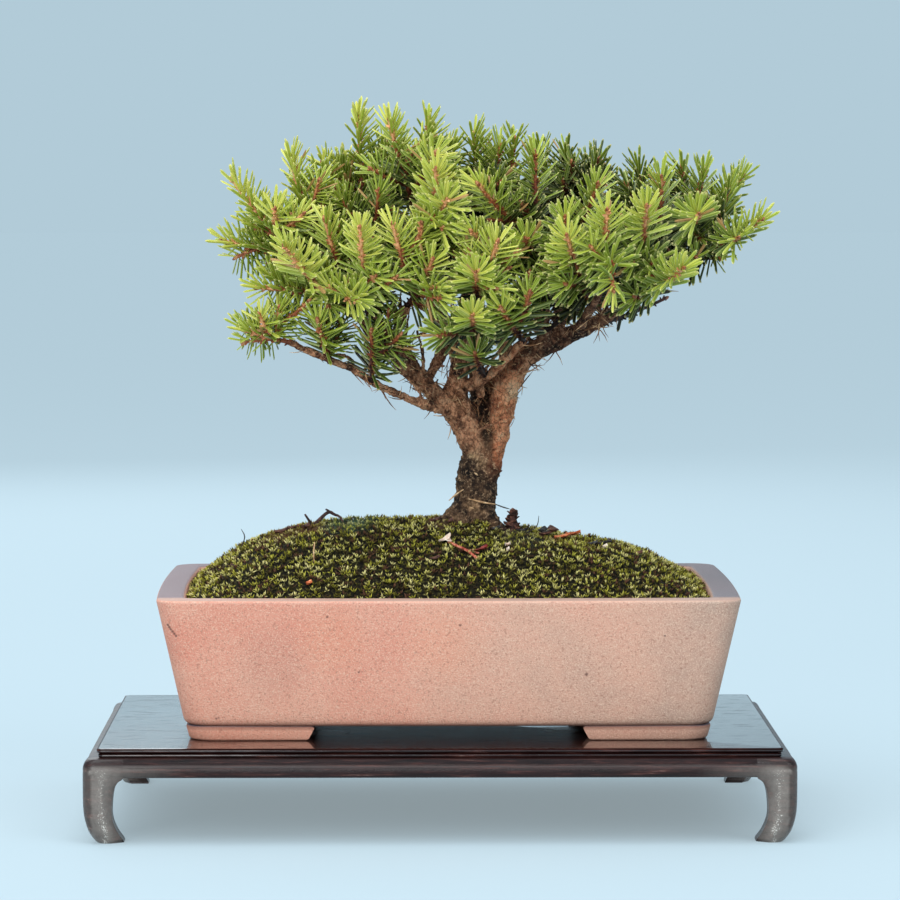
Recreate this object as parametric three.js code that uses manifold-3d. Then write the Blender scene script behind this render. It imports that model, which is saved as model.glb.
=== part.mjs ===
// A dwarf (yatsubusa) ezo spruce bonsai: the tree in moss, in a shallow clay pot, on a low lacquered stand.
// Millimetres, +Z up. The origin is on the ground under the middle of the stand, and -Y faces the viewer.
import * as THREE from "three";
import { mergeVertices } from "three/addons/utils/BufferGeometryUtils.js";
import Module from "manifold-3d";

const wasm = await Module();
wasm.setup();

// Clear space kept between pieces that lie against each other.
const GAP = 0.3;

// Stand
const STAND_X = 97.8;
const STAND_Y = 64.5;
const STAND_HEIGHT = 26;
const SLAB_X = 94.2;
const SLAB_Y = 60.7;
const SLAB_THICKNESS = 2.5;
const SLAB_CORNER_RADIUS = 1.6;
const RAIL_BOTTOM = 18.4;
const RAIL_WIDTH = 6;
const LEG_BLOCK = 11.2;
const LEG_CORNER_RADIUS = 2.8;

// Pot
const POT_CENTRE = { x: 2.5, y: 3 };
const RIM_X = 82;
const RIM_Y = 57;
const RIM_BAND = 7.7;
const RIM_TOP = 66;
const BODY_BOTTOM = 30.1;
const BODY_TAPER = 7;
const FLOOR_TOP = 35;
const POT_CORNER_RADIUS = 6.5;
const SIDE_BULGE = 1;
const INNER_TAPER = 5.2;
const FOOT_LENGTH_X = 36;
const FOOT_LENGTH_Y = 27;
const FOOT_WIDTH = 9;
const FOOT_INSET = BODY_TAPER + 1.7;
const FOOT_CORNER_RADIUS = 7;
const DRAIN_RADIUS = 8;
const DRAIN_OFFSET = 36;
const SCREEN_SIZE = 21;
const SCREEN_THICKNESS = 0.8;
const SCREEN_HOLE = 4.4;
const SCREEN_PITCH = 6;

// Soil and moss
const ROOT_BOTTOM = 64;
const ROOT_PLACE = { x: 10, y: 5 };
const ROOT_HOLE_RADIUS = 9.4;
const CUT_TOP = 100;
const SOIL_EDGE = 62;
const MOSS_DEPTH = 1.8;
const MOUND_HEIGHT = 20;
const MOUND_PEAK = { x: -12, y: 4 };
const MOUND_FALL = { left: 3, right: 3.5, deep: 2.1 };
const SOIL_RINGS = 4;
const MOSS_SEED = 11;
const MOSS_CELLS_X = 28;
const MOSS_CELLS_Y = 20;
const MOSS_TUFT = 0.45;
const MOSS_SWELL = { height: 0.6, alongX: 6.5, alongY: 5.5, sway: 1.3, swayAlong: 8, drift: 14 };

// Scraps on the moss: places in plan, and the twig's rise over the moss at each point
const SCALE_PLACE = { x: 20.5, y: 3 };
const SCALE_LEAN = 0.15;
const SCALE_THICKNESS_SHARE = 0.55;
const SCALE_SHAPE = [
  [-1.5, 1.6],
  [1, 2.3],
  [3.2, 1.9],
  [5.2, 0.9],
];
const DRY_TWIG_RADIUS = 0.55;
const DRY_TWIG = [
  [-38, 2, -0.5],
  [-36, 2, 2.2],
  [-32.5, 1.5, 3],
  [-29, 1, 1.6],
  [-27, 1, -0.5],
];
const DRY_PETAL = [
  [0, -22],
  [3, -23.2],
  [8, -22.6],
  [11, -20.5],
  [7, -20],
  [3, -20.4],
];

// Shoots and needles
const STEM_ROOT_RADIUS = 1.05;
const STEM_FORK_RADIUS = 0.9;
const STEM_TIP_RADIUS = 0.62;
const SHOOT_BEND_OUT = 0.58;
const SHOOT_BEND_UP = 0.44;
const LEAFY_LENGTH = 34;
const LEAFY_SHARE = 0.86;
const WHORL_STEP = 5.9;
const WHORL_TURN = THREE.MathUtils.degToRad(40);
const NEEDLE_LENGTH = 6.6;
const NEEDLE_RADIUS = 0.5;
const NEEDLE_TAPER = 0.8;
const NEEDLE_SPREAD = 0.16;
const NEEDLE_SEED = 7;
const PEG_LENGTH = 1.1;
const BUD_REACH = 5;
const ROOT_LEAN = 58;
const TIP_LEAN = 30;
const OWN_CLEARANCE = 0.15;
const OWN_CLEAR_FROM = 0.4;

// A seeded generator of numbers from 0 to 1.
function seeded(seed) {
  let state = seed >>> 0;
  return () => {
    state = (Math.imul(state, 1664525) + 1013904223) >>> 0;
    return state / 4294967296;
  };
}

// A closed triangle mesh as a solid that booleans can join and cut.
function solidFrom(geometry) {
  const bare = geometry.index ? geometry.toNonIndexed() : geometry.clone();
  bare.deleteAttribute("normal");
  bare.deleteAttribute("uv");
  const merged = mergeVertices(bare, 1e-4);
  const triVerts = new Uint32Array(merged.index.array);
  const vertProperties = merged.attributes.position.array;
  const made = new wasm.Manifold(new wasm.Mesh({ numProp: 3, vertProperties, triVerts }));
  if (made.volume() > 0) return made;
  for (let i = 0; i < triVerts.length; i += 3) {
    [triVerts[i + 1], triVerts[i + 2]] = [triVerts[i + 2], triVerts[i + 1]];
  }
  return new wasm.Manifold(new wasm.Mesh({ numProp: 3, vertProperties, triVerts }));
}

function geometryFrom(solid) {
  const mesh = solid.getMesh();
  const geometry = new THREE.BufferGeometry();
  const position = new THREE.BufferAttribute(new Float32Array(mesh.vertProperties), 3);
  geometry.setAttribute("position", position);
  geometry.setIndex(new THREE.BufferAttribute(new Uint32Array(mesh.triVerts), 1));
  geometry.computeVertexNormals();
  return geometry;
}

// The largest body of a solid that a cut may have parted.
function largestBody(solid) {
  const bodies = solid.decompose();
  return bodies.reduce((best, body) => (body.volume() > best.volume() ? body : best));
}

// A closed solid through rings of points, from the lowest ring to the highest, with flat caps.
function loft(rings) {
  const count = rings[0].length;
  const positions = rings.flat().flatMap((p) => [p.x, p.y, p.z]);
  const index = [];
  for (let k = 0; k + 1 < rings.length; k += 1) {
    for (let i = 0; i < count; i += 1) {
      const a = k * count + i;
      const b = k * count + ((i + 1) % count);
      index.push(a, b, b + count, a, b + count, a + count);
    }
  }
  const capOf = (ring) => {
    const drop = new THREE.Vector3(0, 0, 0);
    for (let i = 0; i < count; i += 1) {
      const a = ring[i];
      const b = ring[(i + 1) % count];
      drop.x += (a.y - b.y) * (a.z + b.z);
      drop.y += (a.z - b.z) * (a.x + b.x);
      drop.z += (a.x - b.x) * (a.y + b.y);
    }
    const turn = new THREE.Quaternion().setFromUnitVectors(drop.normalize(), new THREE.Vector3(0, 0, 1));
    const flat = ring.map((p) => {
      const q = p.clone().applyQuaternion(turn);
      return new THREE.Vector2(q.x, q.y);
    });
    return THREE.ShapeUtils.triangulateShape(flat, []);
  };
  for (const [a, b, c] of capOf(rings[0])) index.push(a, c, b);
  const top = (rings.length - 1) * count;
  for (const [a, b, c] of capOf(rings[rings.length - 1])) index.push(top + a, top + b, top + c);
  const geometry = new THREE.BufferGeometry();
  geometry.setAttribute("position", new THREE.Float32BufferAttribute(positions, 3));
  geometry.setIndex(index);
  return solidFrom(geometry);
}

const group = new THREE.Group();

function addNode(name, solid, material) {
  const mesh = new THREE.Mesh(geometryFrom(solid), material);
  mesh.name = name;
  group.add(mesh);
  return mesh;
}

// Stand: a thin slab with a stepped edge on four rails between four legs that curve in to the toe.
const lacquer = () => new THREE.MeshStandardMaterial({ color: 0x2a1d19, roughness: 0.35, metalness: 0 });

function rectangleRing(halfX, halfY, z, corner, steps = 2) {
  const points = [];
  const centres = [
    [1, 1, 0],
    [-1, 1, 90],
    [-1, -1, 180],
    [1, -1, 270],
  ];
  for (const [sx, sy, start] of centres) {
    for (let i = 0; i <= steps; i += 1) {
      const angle = THREE.MathUtils.degToRad(start + (90 * i) / steps);
      const x = sx * (halfX - corner) + corner * Math.cos(angle);
      const y = sy * (halfY - corner) + corner * Math.sin(angle);
      points.push(new THREE.Vector3(x, y, z));
    }
  }
  return points;
}

// Inset of the slab's edge at each height below its top: a rounded lip, a groove and a bead.
const SLAB_EDGE = [
  [2.5, 1.2],
  [1.9, 0.5],
  [1.5, 0.6],
  [1.2, 1.1],
  [0.9, 0.3],
  [0.3, 0],
  [0, 0.35],
];
const slabRings = SLAB_EDGE.map(([depth, inset]) =>
  rectangleRing(SLAB_X - inset, SLAB_Y - inset, STAND_HEIGHT - depth, SLAB_CORNER_RADIUS),
);
addNode("stand_top", loft(slabRings), lacquer());

// The rails and the legs' shoulders share one moulding: its inset at each height.
const railTop = STAND_HEIGHT - SLAB_THICKNESS;
const MOULDING = [
  [RAIL_BOTTOM, 0.5],
  [RAIL_BOTTOM + 0.7, 0],
  [21, 0],
  [22.6, 0.5],
  [railTop, 1.5],
];

function addRail(name, halfLength, outer, turn) {
  const profile = MOULDING.map(([z, inset]) => [outer - inset, z]);
  profile.push([outer - RAIL_WIDTH, railTop]);
  profile.push([outer - RAIL_WIDTH, RAIL_BOTTOM]);
  const ringAt = (x) => profile.map(([y, z]) => new THREE.Vector3(x, -y, z));
  const solid = loft([ringAt(-halfLength), ringAt(halfLength)]).rotate([0, 0, turn]);
  addNode(name, solid, lacquer());
}
const railHalfX = STAND_X - LEG_BLOCK;
const railHalfY = STAND_Y - LEG_BLOCK;
addRail("stand_rail_front", railHalfX, STAND_Y, 0);
addRail("stand_rail_right", railHalfY, STAND_X, 90);
addRail("stand_rail_back", railHalfX, STAND_Y, 180);
addRail("stand_rail_left", railHalfY, STAND_X, 270);

// Each leg's outer inset and width at each height, from the toe up to the shoulder.
const LEG_SHAPE = [
  [0, 3.8, 11.0],
  [0.8, 3.0, 10.8],
  [3.3, 1.5, 9.3],
  [6.7, 0.5, 8.1],
  [10, 0.1, 7.9],
  [14.5, 0, 8.4],
  [17, 0, 9.6],
  [RAIL_BOTTOM, 0, LEG_BLOCK],
  [21, 0, LEG_BLOCK],
  [22.6, 0.5, LEG_BLOCK],
  [railTop, 1.5, LEG_BLOCK],
];

function legRing([z, inset, width]) {
  const far = -width;
  const near = -inset;
  const round = LEG_CORNER_RADIUS;
  const steps = 3;
  const points = [new THREE.Vector3(far, near, z), new THREE.Vector3(far, far, z)];
  points.push(new THREE.Vector3(near, far, z));
  for (let i = 0; i <= steps; i += 1) {
    const angle = ((Math.PI / 2) * i) / steps;
    const x = near - round + round * Math.cos(angle);
    const y = near - round + round * Math.sin(angle);
    points.push(new THREE.Vector3(x, y, z));
  }
  return points;
}

const legSolid = loft(LEG_SHAPE.map(legRing));
for (const [name, sx, sy] of [
  ["stand_leg_front_left", -1, -1],
  ["stand_leg_front_right", 1, -1],
  ["stand_leg_back_left", -1, 1],
  ["stand_leg_back_right", 1, 1],
]) {
  const placed = legSolid.scale([sx, sy, 1]).translate([sx * STAND_X, sy * STAND_Y, 0]);
  addNode(name, placed, lacquer());
}

// Pot: an outline with rounded corners and slightly bowed sides, drawn in for each level.
function potRing(inset, z, corner = POT_CORNER_RADIUS, cornerSteps = 3, sideSteps = 3) {
  const halfX = RIM_X - inset;
  const halfY = RIM_Y - inset;
  const flatX = halfX - SIDE_BULGE;
  const flatY = halfY - SIDE_BULGE;
  const points = [];
  const corners = [
    [1, 1],
    [-1, 1],
    [-1, -1],
    [1, -1],
  ];
  corners.forEach(([sx, sy], k) => {
    for (let i = 0; i <= cornerSteps; i += 1) {
      const angle = (Math.PI / 2) * (k + i / cornerSteps);
      const x = sx * (flatX - corner) + corner * Math.cos(angle);
      const y = sy * (flatY - corner) + corner * Math.sin(angle);
      points.push(new THREE.Vector3(x, y, z));
    }
    const [nx, ny] = corners[(k + 1) % 4];
    const alongX = k % 2 === 0;
    for (let i = 1; i < sideSteps; i += 1) {
      const t = i / sideSteps;
      const bow = SIDE_BULGE * 4 * t * (1 - t);
      const x = alongX
        ? THREE.MathUtils.lerp(sx, nx, t) * (flatX - corner)
        : sx * (flatX + bow);
      const y = alongX ? sy * (flatY + bow) : THREE.MathUtils.lerp(sy, ny, t) * (flatY - corner);
      points.push(new THREE.Vector3(x, y, z));
    }
  });
  return points.map((p) => p.add(new THREE.Vector3(POT_CENTRE.x, POT_CENTRE.y, 0)));
}

// Inset and height of each level of the pot, outside and inside; the lowest and highest edges are eased.
const POT_OUTSIDE = [
  [BODY_TAPER + 2.4, BODY_BOTTOM],
  [BODY_TAPER + 1, BODY_BOTTOM + 0.4],
  [BODY_TAPER, BODY_BOTTOM + 1.9],
  [0.3, RIM_TOP - 1.2],
  [0, RIM_TOP - 0.5],
  [0.5, RIM_TOP],
];
const POT_INSIDE = [
  [RIM_BAND + INNER_TAPER, FLOOR_TOP],
  [RIM_BAND, RIM_TOP - 0.6],
  [RIM_BAND - 0.5, RIM_TOP],
  [RIM_BAND - 0.5, RIM_TOP + 1],
];
const potBody = loft(POT_OUTSIDE.map(([inset, z]) => potRing(inset, z)));
const innerCorner = POT_CORNER_RADIUS - 3;
const potInside = loft(POT_INSIDE.map(([inset, z]) => potRing(inset, z, innerCorner)));

// One corner foot: an L in plan that narrows to the ground, with slanted ends.
function footRing(inset, z) {
  const outerX = RIM_X - FOOT_INSET - inset;
  const outerY = RIM_Y - FOOT_INSET - inset;
  const endX = RIM_X - FOOT_INSET - FOOT_LENGTH_X + inset * 2;
  const endY = RIM_Y - FOOT_INSET - FOOT_LENGTH_Y + inset * 2;
  const innerX = outerX - FOOT_WIDTH + inset;
  const innerY = outerY - FOOT_WIDTH + inset;
  const corner = FOOT_CORNER_RADIUS;
  const steps = 3;
  const points = [
    new THREE.Vector3(endX, innerY, z),
    new THREE.Vector3(innerX, innerY, z),
    new THREE.Vector3(innerX, endY, z),
    new THREE.Vector3(outerX, endY, z),
  ];
  for (let i = 0; i <= steps; i += 1) {
    const angle = ((Math.PI / 2) * i) / steps;
    const x = outerX - corner + corner * Math.cos(angle);
    const y = outerY - corner + corner * Math.sin(angle);
    points.push(new THREE.Vector3(x, y, z));
  }
  points.push(new THREE.Vector3(endX, outerY, z));
  return points;
}

const FOOT_SHAPE = [
  [1.3, STAND_HEIGHT],
  [0.9, STAND_HEIGHT + 0.5],
  [0, BODY_BOTTOM],
  [0, BODY_BOTTOM + 0.6],
];
const footSolid = loft(FOOT_SHAPE.map(([inset, z]) => footRing(inset, z)));
let pot = potBody.subtract(potInside);
for (const [sx, sy] of [
  [1, 1],
  [-1, 1],
  [-1, -1],
  [1, -1],
]) {
  const foot = footSolid.scale([sx, sy, 1]).translate([POT_CENTRE.x, POT_CENTRE.y, 0]);
  pot = pot.add(foot);
}

// An upright many-sided cylinder as a solid.
function post(x, y, radius, bottom, top, sides = 16) {
  const geometry = new THREE.CylinderGeometry(radius, radius, top - bottom, sides);
  geometry.rotateX(Math.PI / 2);
  geometry.translate(x, y, (bottom + top) / 2);
  return solidFrom(geometry);
}

const drains = [
  ["drain_mesh_left", POT_CENTRE.x - DRAIN_OFFSET],
  ["drain_mesh_right", POT_CENTRE.x + DRAIN_OFFSET],
];
for (const [, x] of drains) {
  pot = pot.subtract(post(x, POT_CENTRE.y, DRAIN_RADIUS, BODY_BOTTOM - 1, FLOOR_TOP + 1));
}
const clay = new THREE.MeshStandardMaterial({ color: 0xc08468, roughness: 0.85, metalness: 0 });
addNode("pot", pot, clay);

// Drain screens: square plastic nets that lie on the pot's floor over its holes.
function box(x, y, z, width, depth, height) {
  return solidFrom(new THREE.BoxGeometry(width, depth, height)).translate([x, y, z]);
}

const plastic = () => new THREE.MeshStandardMaterial({ color: 0x20242a, roughness: 0.6, metalness: 0 });
const screenMiddle = FLOOR_TOP + SCREEN_THICKNESS / 2;
for (const [name, x] of drains) {
  let screen = box(x, POT_CENTRE.y, screenMiddle, SCREEN_SIZE, SCREEN_SIZE, SCREEN_THICKNESS);
  for (let i = -1; i <= 1; i += 1) {
    for (let j = -1; j <= 1; j += 1) {
      const holeX = x + i * SCREEN_PITCH;
      const holeY = POT_CENTRE.y + j * SCREEN_PITCH;
      screen = screen.subtract(box(holeX, holeY, screenMiddle, SCREEN_HOLE, SCREEN_HOLE, 2));
    }
  }
  addNode(name, screen, plastic());
}

// Tree: each branch is a run of points x, y, z and radius, from where it leaves the wood that carries it.
const BRANCHES = {
  trunk: [
    [10, 5, 64, 8.6],
    [10, 5, 74, 8.3],
    [10.2, 5, 81, 7.2],
    [10.6, 5, 86, 6.1],
    [11, 5, 91, 5.8],
    [11.4, 5, 96.5, 5.7],
    [12.4, 5, 101, 5.9],
    [12.8, 4.5, 106, 4.6],
    [13, 4, 109, 3],
  ],
  fork_left: [
    [12.6, 4.5, 101.5, 4.6],
    [9.1, 3, 108, 4.1],
    [6.5, 2, 114, 3.8],
  ],
  left_main: [
    [6.5, 2, 112.5, 3.5],
    [0.7, 0, 118.4, 2.6],
    [-5.3, -2, 124.5, 2.4],
    [-9.6, -4, 128.3, 2.3],
    [-13.3, -6, 131.8, 2],
    [-16.7, -8, 135, 1.75],
    [-19.5, -10, 138.2, 1.5],
    [-22.5, -12, 142.3, 1.4],
    [-28, -14, 146, 1.3],
    [-31, -13, 151, 1.15],
    [-33, -11, 157, 1],
  ],
  left_low: [
    [4.8, 1, 114.2, 1.9],
    [0.4, -3, 116, 1.4],
    [-5.3, -7, 117.9, 1.3],
    [-12.1, -10, 120.8, 1.2],
    [-18.9, -12, 124.1, 1.15],
    [-24.6, -14, 127.9, 1.1],
    [-30.8, -16, 130.5, 1.05],
    [-37.5, -18, 133.4, 1],
    [-42, -19, 135.7, 0.95],
  ],
  left_front: [
    [-13.3, -6, 131.8, 1.6],
    [-12, -13, 139, 1.3],
    [-9, -19, 146, 1.1],
  ],
  left_up: [
    [-16.7, -8, 135, 1.6],
    [-18, -3, 146, 1.4],
    [-20, 1, 157, 1.2],
    [-21, 3, 168, 1],
  ],
  centre: [
    [8, 3, 109, 3.2],
    [6.8, 4, 116.7, 2.5],
    [6.5, 4, 121.6, 2.2],
    [6.8, 3, 126.3, 1.9],
    [9, 0, 131.3, 1.6],
    [10, -5, 136, 1.4],
    [11, -12, 143, 1.2],
    [11, -18, 148, 1],
  ],
  centre_up: [
    [6.8, 3, 126.3, 1.8],
    [3, 3, 138, 1.6],
    [-1, 2, 150, 1.4],
    [-4, 0, 162, 1.2],
    [-5, -3, 169, 1],
  ],
  centre_right: [
    [6.8, 2, 121.5, 1.8],
    [12.2, -4, 124.2, 1.5],
    [17.5, -9, 128.8, 1.3],
    [21, -12, 132.6, 1.15],
    [24, -15, 136, 1],
  ],
  right_main: [
    [13.5, 5, 101.5, 4.8],
    [16, 4, 106.6, 3.9],
    [17.4, 4, 111.2, 3.5],
    [18.6, 4, 116.1, 3.5],
    [19.2, 4, 120.4, 3.6],
    [20.6, 3, 124, 3.6],
    [23.4, 2, 129, 3.2],
    [27.7, 1, 132.4, 2.9],
    [33.7, 0, 135, 2.6],
    [39.9, -1, 138.2, 2.3],
    [46.2, -2, 140.9, 1.9],
    [51, -3, 144.4, 1.65],
    [56.4, -4, 147.4, 1.5],
    [61, -5, 150.3, 1.35],
    [65.5, -6, 153.4, 1.2],
    [70, -8, 157, 1],
  ],
  right_up: [
    [28.5, 0.5, 132.7, 2.1],
    [30.5, -2, 136.2, 1.8],
    [30, -4, 141.4, 1.6],
    [28.6, -7, 149, 1.3],
  ],
  mid_up: [
    [20.6, 3, 124, 1.9],
    [18, 6, 138, 1.6],
    [15, 7, 152, 1.3],
    [13, 6, 164, 1],
  ],
  right_top: [
    [33.7, 0, 135, 1.9],
    [35, 5, 147, 1.5],
    [36, 9, 158, 1.3],
    [37, 11, 167, 1],
  ],
  right_front: [
    [39.9, -1, 138.2, 1.8],
    [41, -10, 141.5, 1.5],
    [43, -18, 145.5, 1.3],
    [45, -25, 150, 1],
  ],
  right_back: [
    [56.4, -4, 147.4, 1.4],
    [62, 6, 153, 1.2],
    [67, 13, 160, 1],
  ],
  back_left: [
    [-5.3, -2, 124.5, 2],
    [-9, 8, 131, 1.7],
    [-15, 18, 138, 1.5],
    [-20, 27, 145, 1.3],
    [-24, 34, 152, 1],
  ],
  back_middle: [
    [6.5, 4, 121.6, 2.1],
    [5, 13, 130, 1.7],
    [6, 22, 139, 1.4],
    [9, 31, 148, 1.2],
    [10, 38, 155, 1],
  ],
  back_right: [
    [23.4, 2, 129.2, 2.1],
    [29, 11, 134, 1.7],
    [36, 19, 140, 1.5],
    [44, 27, 147, 1.3],
    [50, 33, 153, 1],
  ],
};
const TUBE_SIDES = { trunk: 9, fork_left: 8, left_main: 6, right_main: 7, centre: 6 };

// A tapered tube along points with a radius at each.
function tube(points, radii, sides) {
  const rings = [];
  let side = new THREE.Vector3(0, 1, 0);
  points.forEach((p, k) => {
    const before = points[Math.max(k - 1, 0)];
    const after = points[Math.min(k + 1, points.length - 1)];
    const along = new THREE.Vector3().subVectors(after, before).normalize();
    if (Math.abs(along.dot(side)) > 0.98) side = new THREE.Vector3(1, 0, 0);
    const across = new THREE.Vector3().crossVectors(side, along).normalize();
    side = new THREE.Vector3().crossVectors(along, across).normalize();
    const ring = [];
    for (let i = 0; i < sides; i += 1) {
      const angle = (2 * Math.PI * i) / sides;
      const out = across.clone().multiplyScalar(Math.cos(angle) * radii[k]);
      out.addScaledVector(side, Math.sin(angle) * radii[k]);
      ring.push(out.add(p));
    }
    rings.push(ring);
  });
  return loft(rings);
}

function branchTube(name, extra = 0) {
  const rows = BRANCHES[name];
  const points = rows.map(([x, y, z]) => new THREE.Vector3(x, y, z));
  const radii = rows.map((row) => row[3] + extra);
  return tube(points, radii, TUBE_SIDES[name] ?? 5);
}

// The place at a fraction of a branch's run of points.
function onBranch(name, fraction) {
  const rows = BRANCHES[name];
  const place = fraction * (rows.length - 1);
  const k = Math.min(Math.floor(place), rows.length - 2);
  const a = new THREE.Vector3(...rows[k].slice(0, 3));
  const b = new THREE.Vector3(...rows[k + 1].slice(0, 3));
  return a.lerp(b, place - k);
}

const branchNames = Object.keys(BRANCHES);
const tree = branchNames.map((name) => branchTube(name)).reduce((sum, part) => sum.add(part));
const treeFat = branchNames.map((name) => branchTube(name, GAP)).reduce((sum, part) => sum.add(part));
const bark = new THREE.MeshStandardMaterial({ color: 0x5a463a, roughness: 0.95, metalness: 0 });
addNode("tree", tree, bark);

// Soil: fills the pot and rises in a low mound to the trunk.
function moundHeight(x, y) {
  const dx = x - POT_CENTRE.x;
  const dy = y - POT_CENTRE.y;
  const halfX = RIM_X - RIM_BAND;
  const halfY = RIM_Y - RIM_BAND;
  const peakX = (MOUND_PEAK.x - POT_CENTRE.x) / halfX;
  const peakY = (MOUND_PEAK.y - POT_CENTRE.y) / halfY;
  const u = dx / halfX - peakX;
  const v = dy / halfY - peakY;
  const reachX = u < 0 ? 1 + peakX : 1 - peakX;
  const reachY = v < 0 ? 1 + peakY : 1 - peakY;
  const across = Math.max(0, 1 - Math.abs(u / reachX) ** (u < 0 ? MOUND_FALL.left : MOUND_FALL.right));
  const deep = Math.max(0, 1 - Math.abs(v / reachY) ** MOUND_FALL.deep);
  return MOUND_HEIGHT * across * deep;
}

// A closed solid with a relief top inside a pot outline: rings shrink to a middle point.
function mound(outline, bottom, heightAt, ringCount) {
  const count = outline.length;
  const centre = new THREE.Vector3(POT_CENTRE.x, POT_CENTRE.y, 0);
  const positions = [];
  const index = [];
  for (const p of outline) positions.push(p.x, p.y, bottom);
  for (let k = 0; k < ringCount; k += 1) {
    const scale = 1 - k / ringCount;
    for (const p of outline) {
      const q = centre.clone().lerp(p, scale);
      positions.push(q.x, q.y, heightAt(q.x, q.y));
    }
  }
  positions.push(centre.x, centre.y, bottom, centre.x, centre.y, heightAt(centre.x, centre.y));
  const low = (ringCount + 1) * count;
  const high = low + 1;
  for (let k = 0; k < ringCount; k += 1) {
    for (let i = 0; i < count; i += 1) {
      const a = k * count + i;
      const b = k * count + ((i + 1) % count);
      index.push(a, b, b + count, a, b + count, a + count);
    }
  }
  for (let i = 0; i < count; i += 1) {
    const next = (i + 1) % count;
    index.push(low, next, i);
    index.push(high, ringCount * count + i, ringCount * count + next);
  }
  const geometry = new THREE.BufferGeometry();
  geometry.setAttribute("position", new THREE.Float32BufferAttribute(positions, 3));
  geometry.setIndex(index);
  return solidFrom(geometry);
}

const soilHeight = (x, y) => SOIL_EDGE + moundHeight(x, y);
const SOIL_SIDE = [
  [RIM_BAND + INNER_TAPER + GAP, FLOOR_TOP],
  [RIM_BAND + GAP, RIM_TOP - 0.6],
  [RIM_BAND + GAP, CUT_TOP],
];
const soilBlock = loft(SOIL_SIDE.map(([inset, z]) => potRing(inset, z, innerCorner, 2)));
const soilOutline = potRing(RIM_BAND - 2, 0, innerCorner, 2);
const soilTop = mound(soilOutline, FLOOR_TOP - 1, soilHeight, SOIL_RINGS);
const soilTopRaised = mound(soilOutline, FLOOR_TOP - 1, (x, y) => soilHeight(x, y) + GAP, SOIL_RINGS);
let soil = soilBlock.intersect(soilTop);
soil = soil.subtract(post(ROOT_PLACE.x, ROOT_PLACE.y, ROOT_HOLE_RADIUS, ROOT_BOTTOM, CUT_TOP));
for (const [, x] of drains) {
  const pocket = SCREEN_SIZE + 2 * GAP;
  const pocketTop = SCREEN_THICKNESS + GAP;
  soil = soil.subtract(box(x, POT_CENTRE.y, FLOOR_TOP + pocketTop / 2 - 0.5, pocket, pocket, pocketTop + 1));
}
const earth = new THREE.MeshStandardMaterial({ color: 0x3b2c22, roughness: 1, metalness: 0 });
addNode("soil", soil, earth);

// Moss: a carpet of small cushions over the soil, up to the bark. Every other point of its grid stands up.
const mossRandom = seeded(MOSS_SEED);
const mossTufts = [];
for (let k = 0; k < (MOSS_CELLS_X + 1) * (MOSS_CELLS_Y + 1); k += 1) mossTufts.push(mossRandom());

function mossHeight(x, y) {
  const { height, alongX, alongY, sway, swayAlong, drift } = MOSS_SWELL;
  const swell = Math.sin(x / alongX + sway * Math.sin(y / swayAlong)) * Math.sin(y / alongY + x / drift);
  return soilHeight(x, y) + MOSS_DEPTH + GAP + height * swell;
}

// A closed block under the moss's top, which is a grid of heights over a rectangle about the pot's middle.
function mossBlockUnder(halfX, halfY, bottom, raise) {
  const positions = [];
  const index = [];
  const across = MOSS_CELLS_X + 1;
  for (const top of [false, true]) {
    for (let j = 0; j <= MOSS_CELLS_Y; j += 1) {
      for (let i = 0; i <= MOSS_CELLS_X; i += 1) {
        const x = POT_CENTRE.x + halfX * ((2 * i) / MOSS_CELLS_X - 1);
        const y = POT_CENTRE.y + halfY * ((2 * j) / MOSS_CELLS_Y - 1);
        const stand = (i + j) % 2 === 0 ? MOSS_TUFT : -MOSS_TUFT;
        const tuft = stand * (0.4 + 0.9 * mossTufts[j * across + i]);
        positions.push(x, y, top ? mossHeight(x, y) + tuft + raise : bottom);
      }
    }
  }
  const lift = across * (MOSS_CELLS_Y + 1);
  for (let j = 0; j < MOSS_CELLS_Y; j += 1) {
    for (let i = 0; i < MOSS_CELLS_X; i += 1) {
      const a = j * across + i;
      const [b, c, d] = [a + 1, a + across + 1, a + across];
      const even = (i + j) % 2 === 0;
      index.push(a, c, b, a, d, c);
      if (even) index.push(a + lift, b + lift, d + lift, b + lift, c + lift, d + lift);
      else index.push(a + lift, b + lift, c + lift, a + lift, c + lift, d + lift);
    }
  }
  const wall = (a, b) => index.push(a, b, b + lift, a, b + lift, a + lift);
  for (let i = 0; i < MOSS_CELLS_X; i += 1) {
    wall(i, i + 1);
    wall(MOSS_CELLS_Y * across + i + 1, MOSS_CELLS_Y * across + i);
  }
  for (let j = 0; j < MOSS_CELLS_Y; j += 1) {
    wall((j + 1) * across, j * across);
    wall(j * across + MOSS_CELLS_X, (j + 1) * across + MOSS_CELLS_X);
  }
  const geometry = new THREE.BufferGeometry();
  geometry.setAttribute("position", new THREE.Float32BufferAttribute(positions, 3));
  geometry.setIndex(index);
  return solidFrom(geometry);
}

const mossInset = RIM_BAND + 3 * GAP;
const mossBlock = loft([SOIL_EDGE - 2, CUT_TOP].map((z) => potRing(mossInset, z, innerCorner)));
const mossTop = mossBlockUnder(RIM_X, RIM_Y, SOIL_EDGE - 3, 0);
const mossRaised = mossBlockUnder(RIM_X, RIM_Y, SOIL_EDGE - 3, GAP);
const moss = largestBody(mossBlock.intersect(mossTop).subtract(soilTopRaised).subtract(treeFat));
const green = new THREE.MeshStandardMaterial({ color: 0x6c7a2c, roughness: 1, metalness: 0 });
addNode("moss", moss, green);

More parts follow.
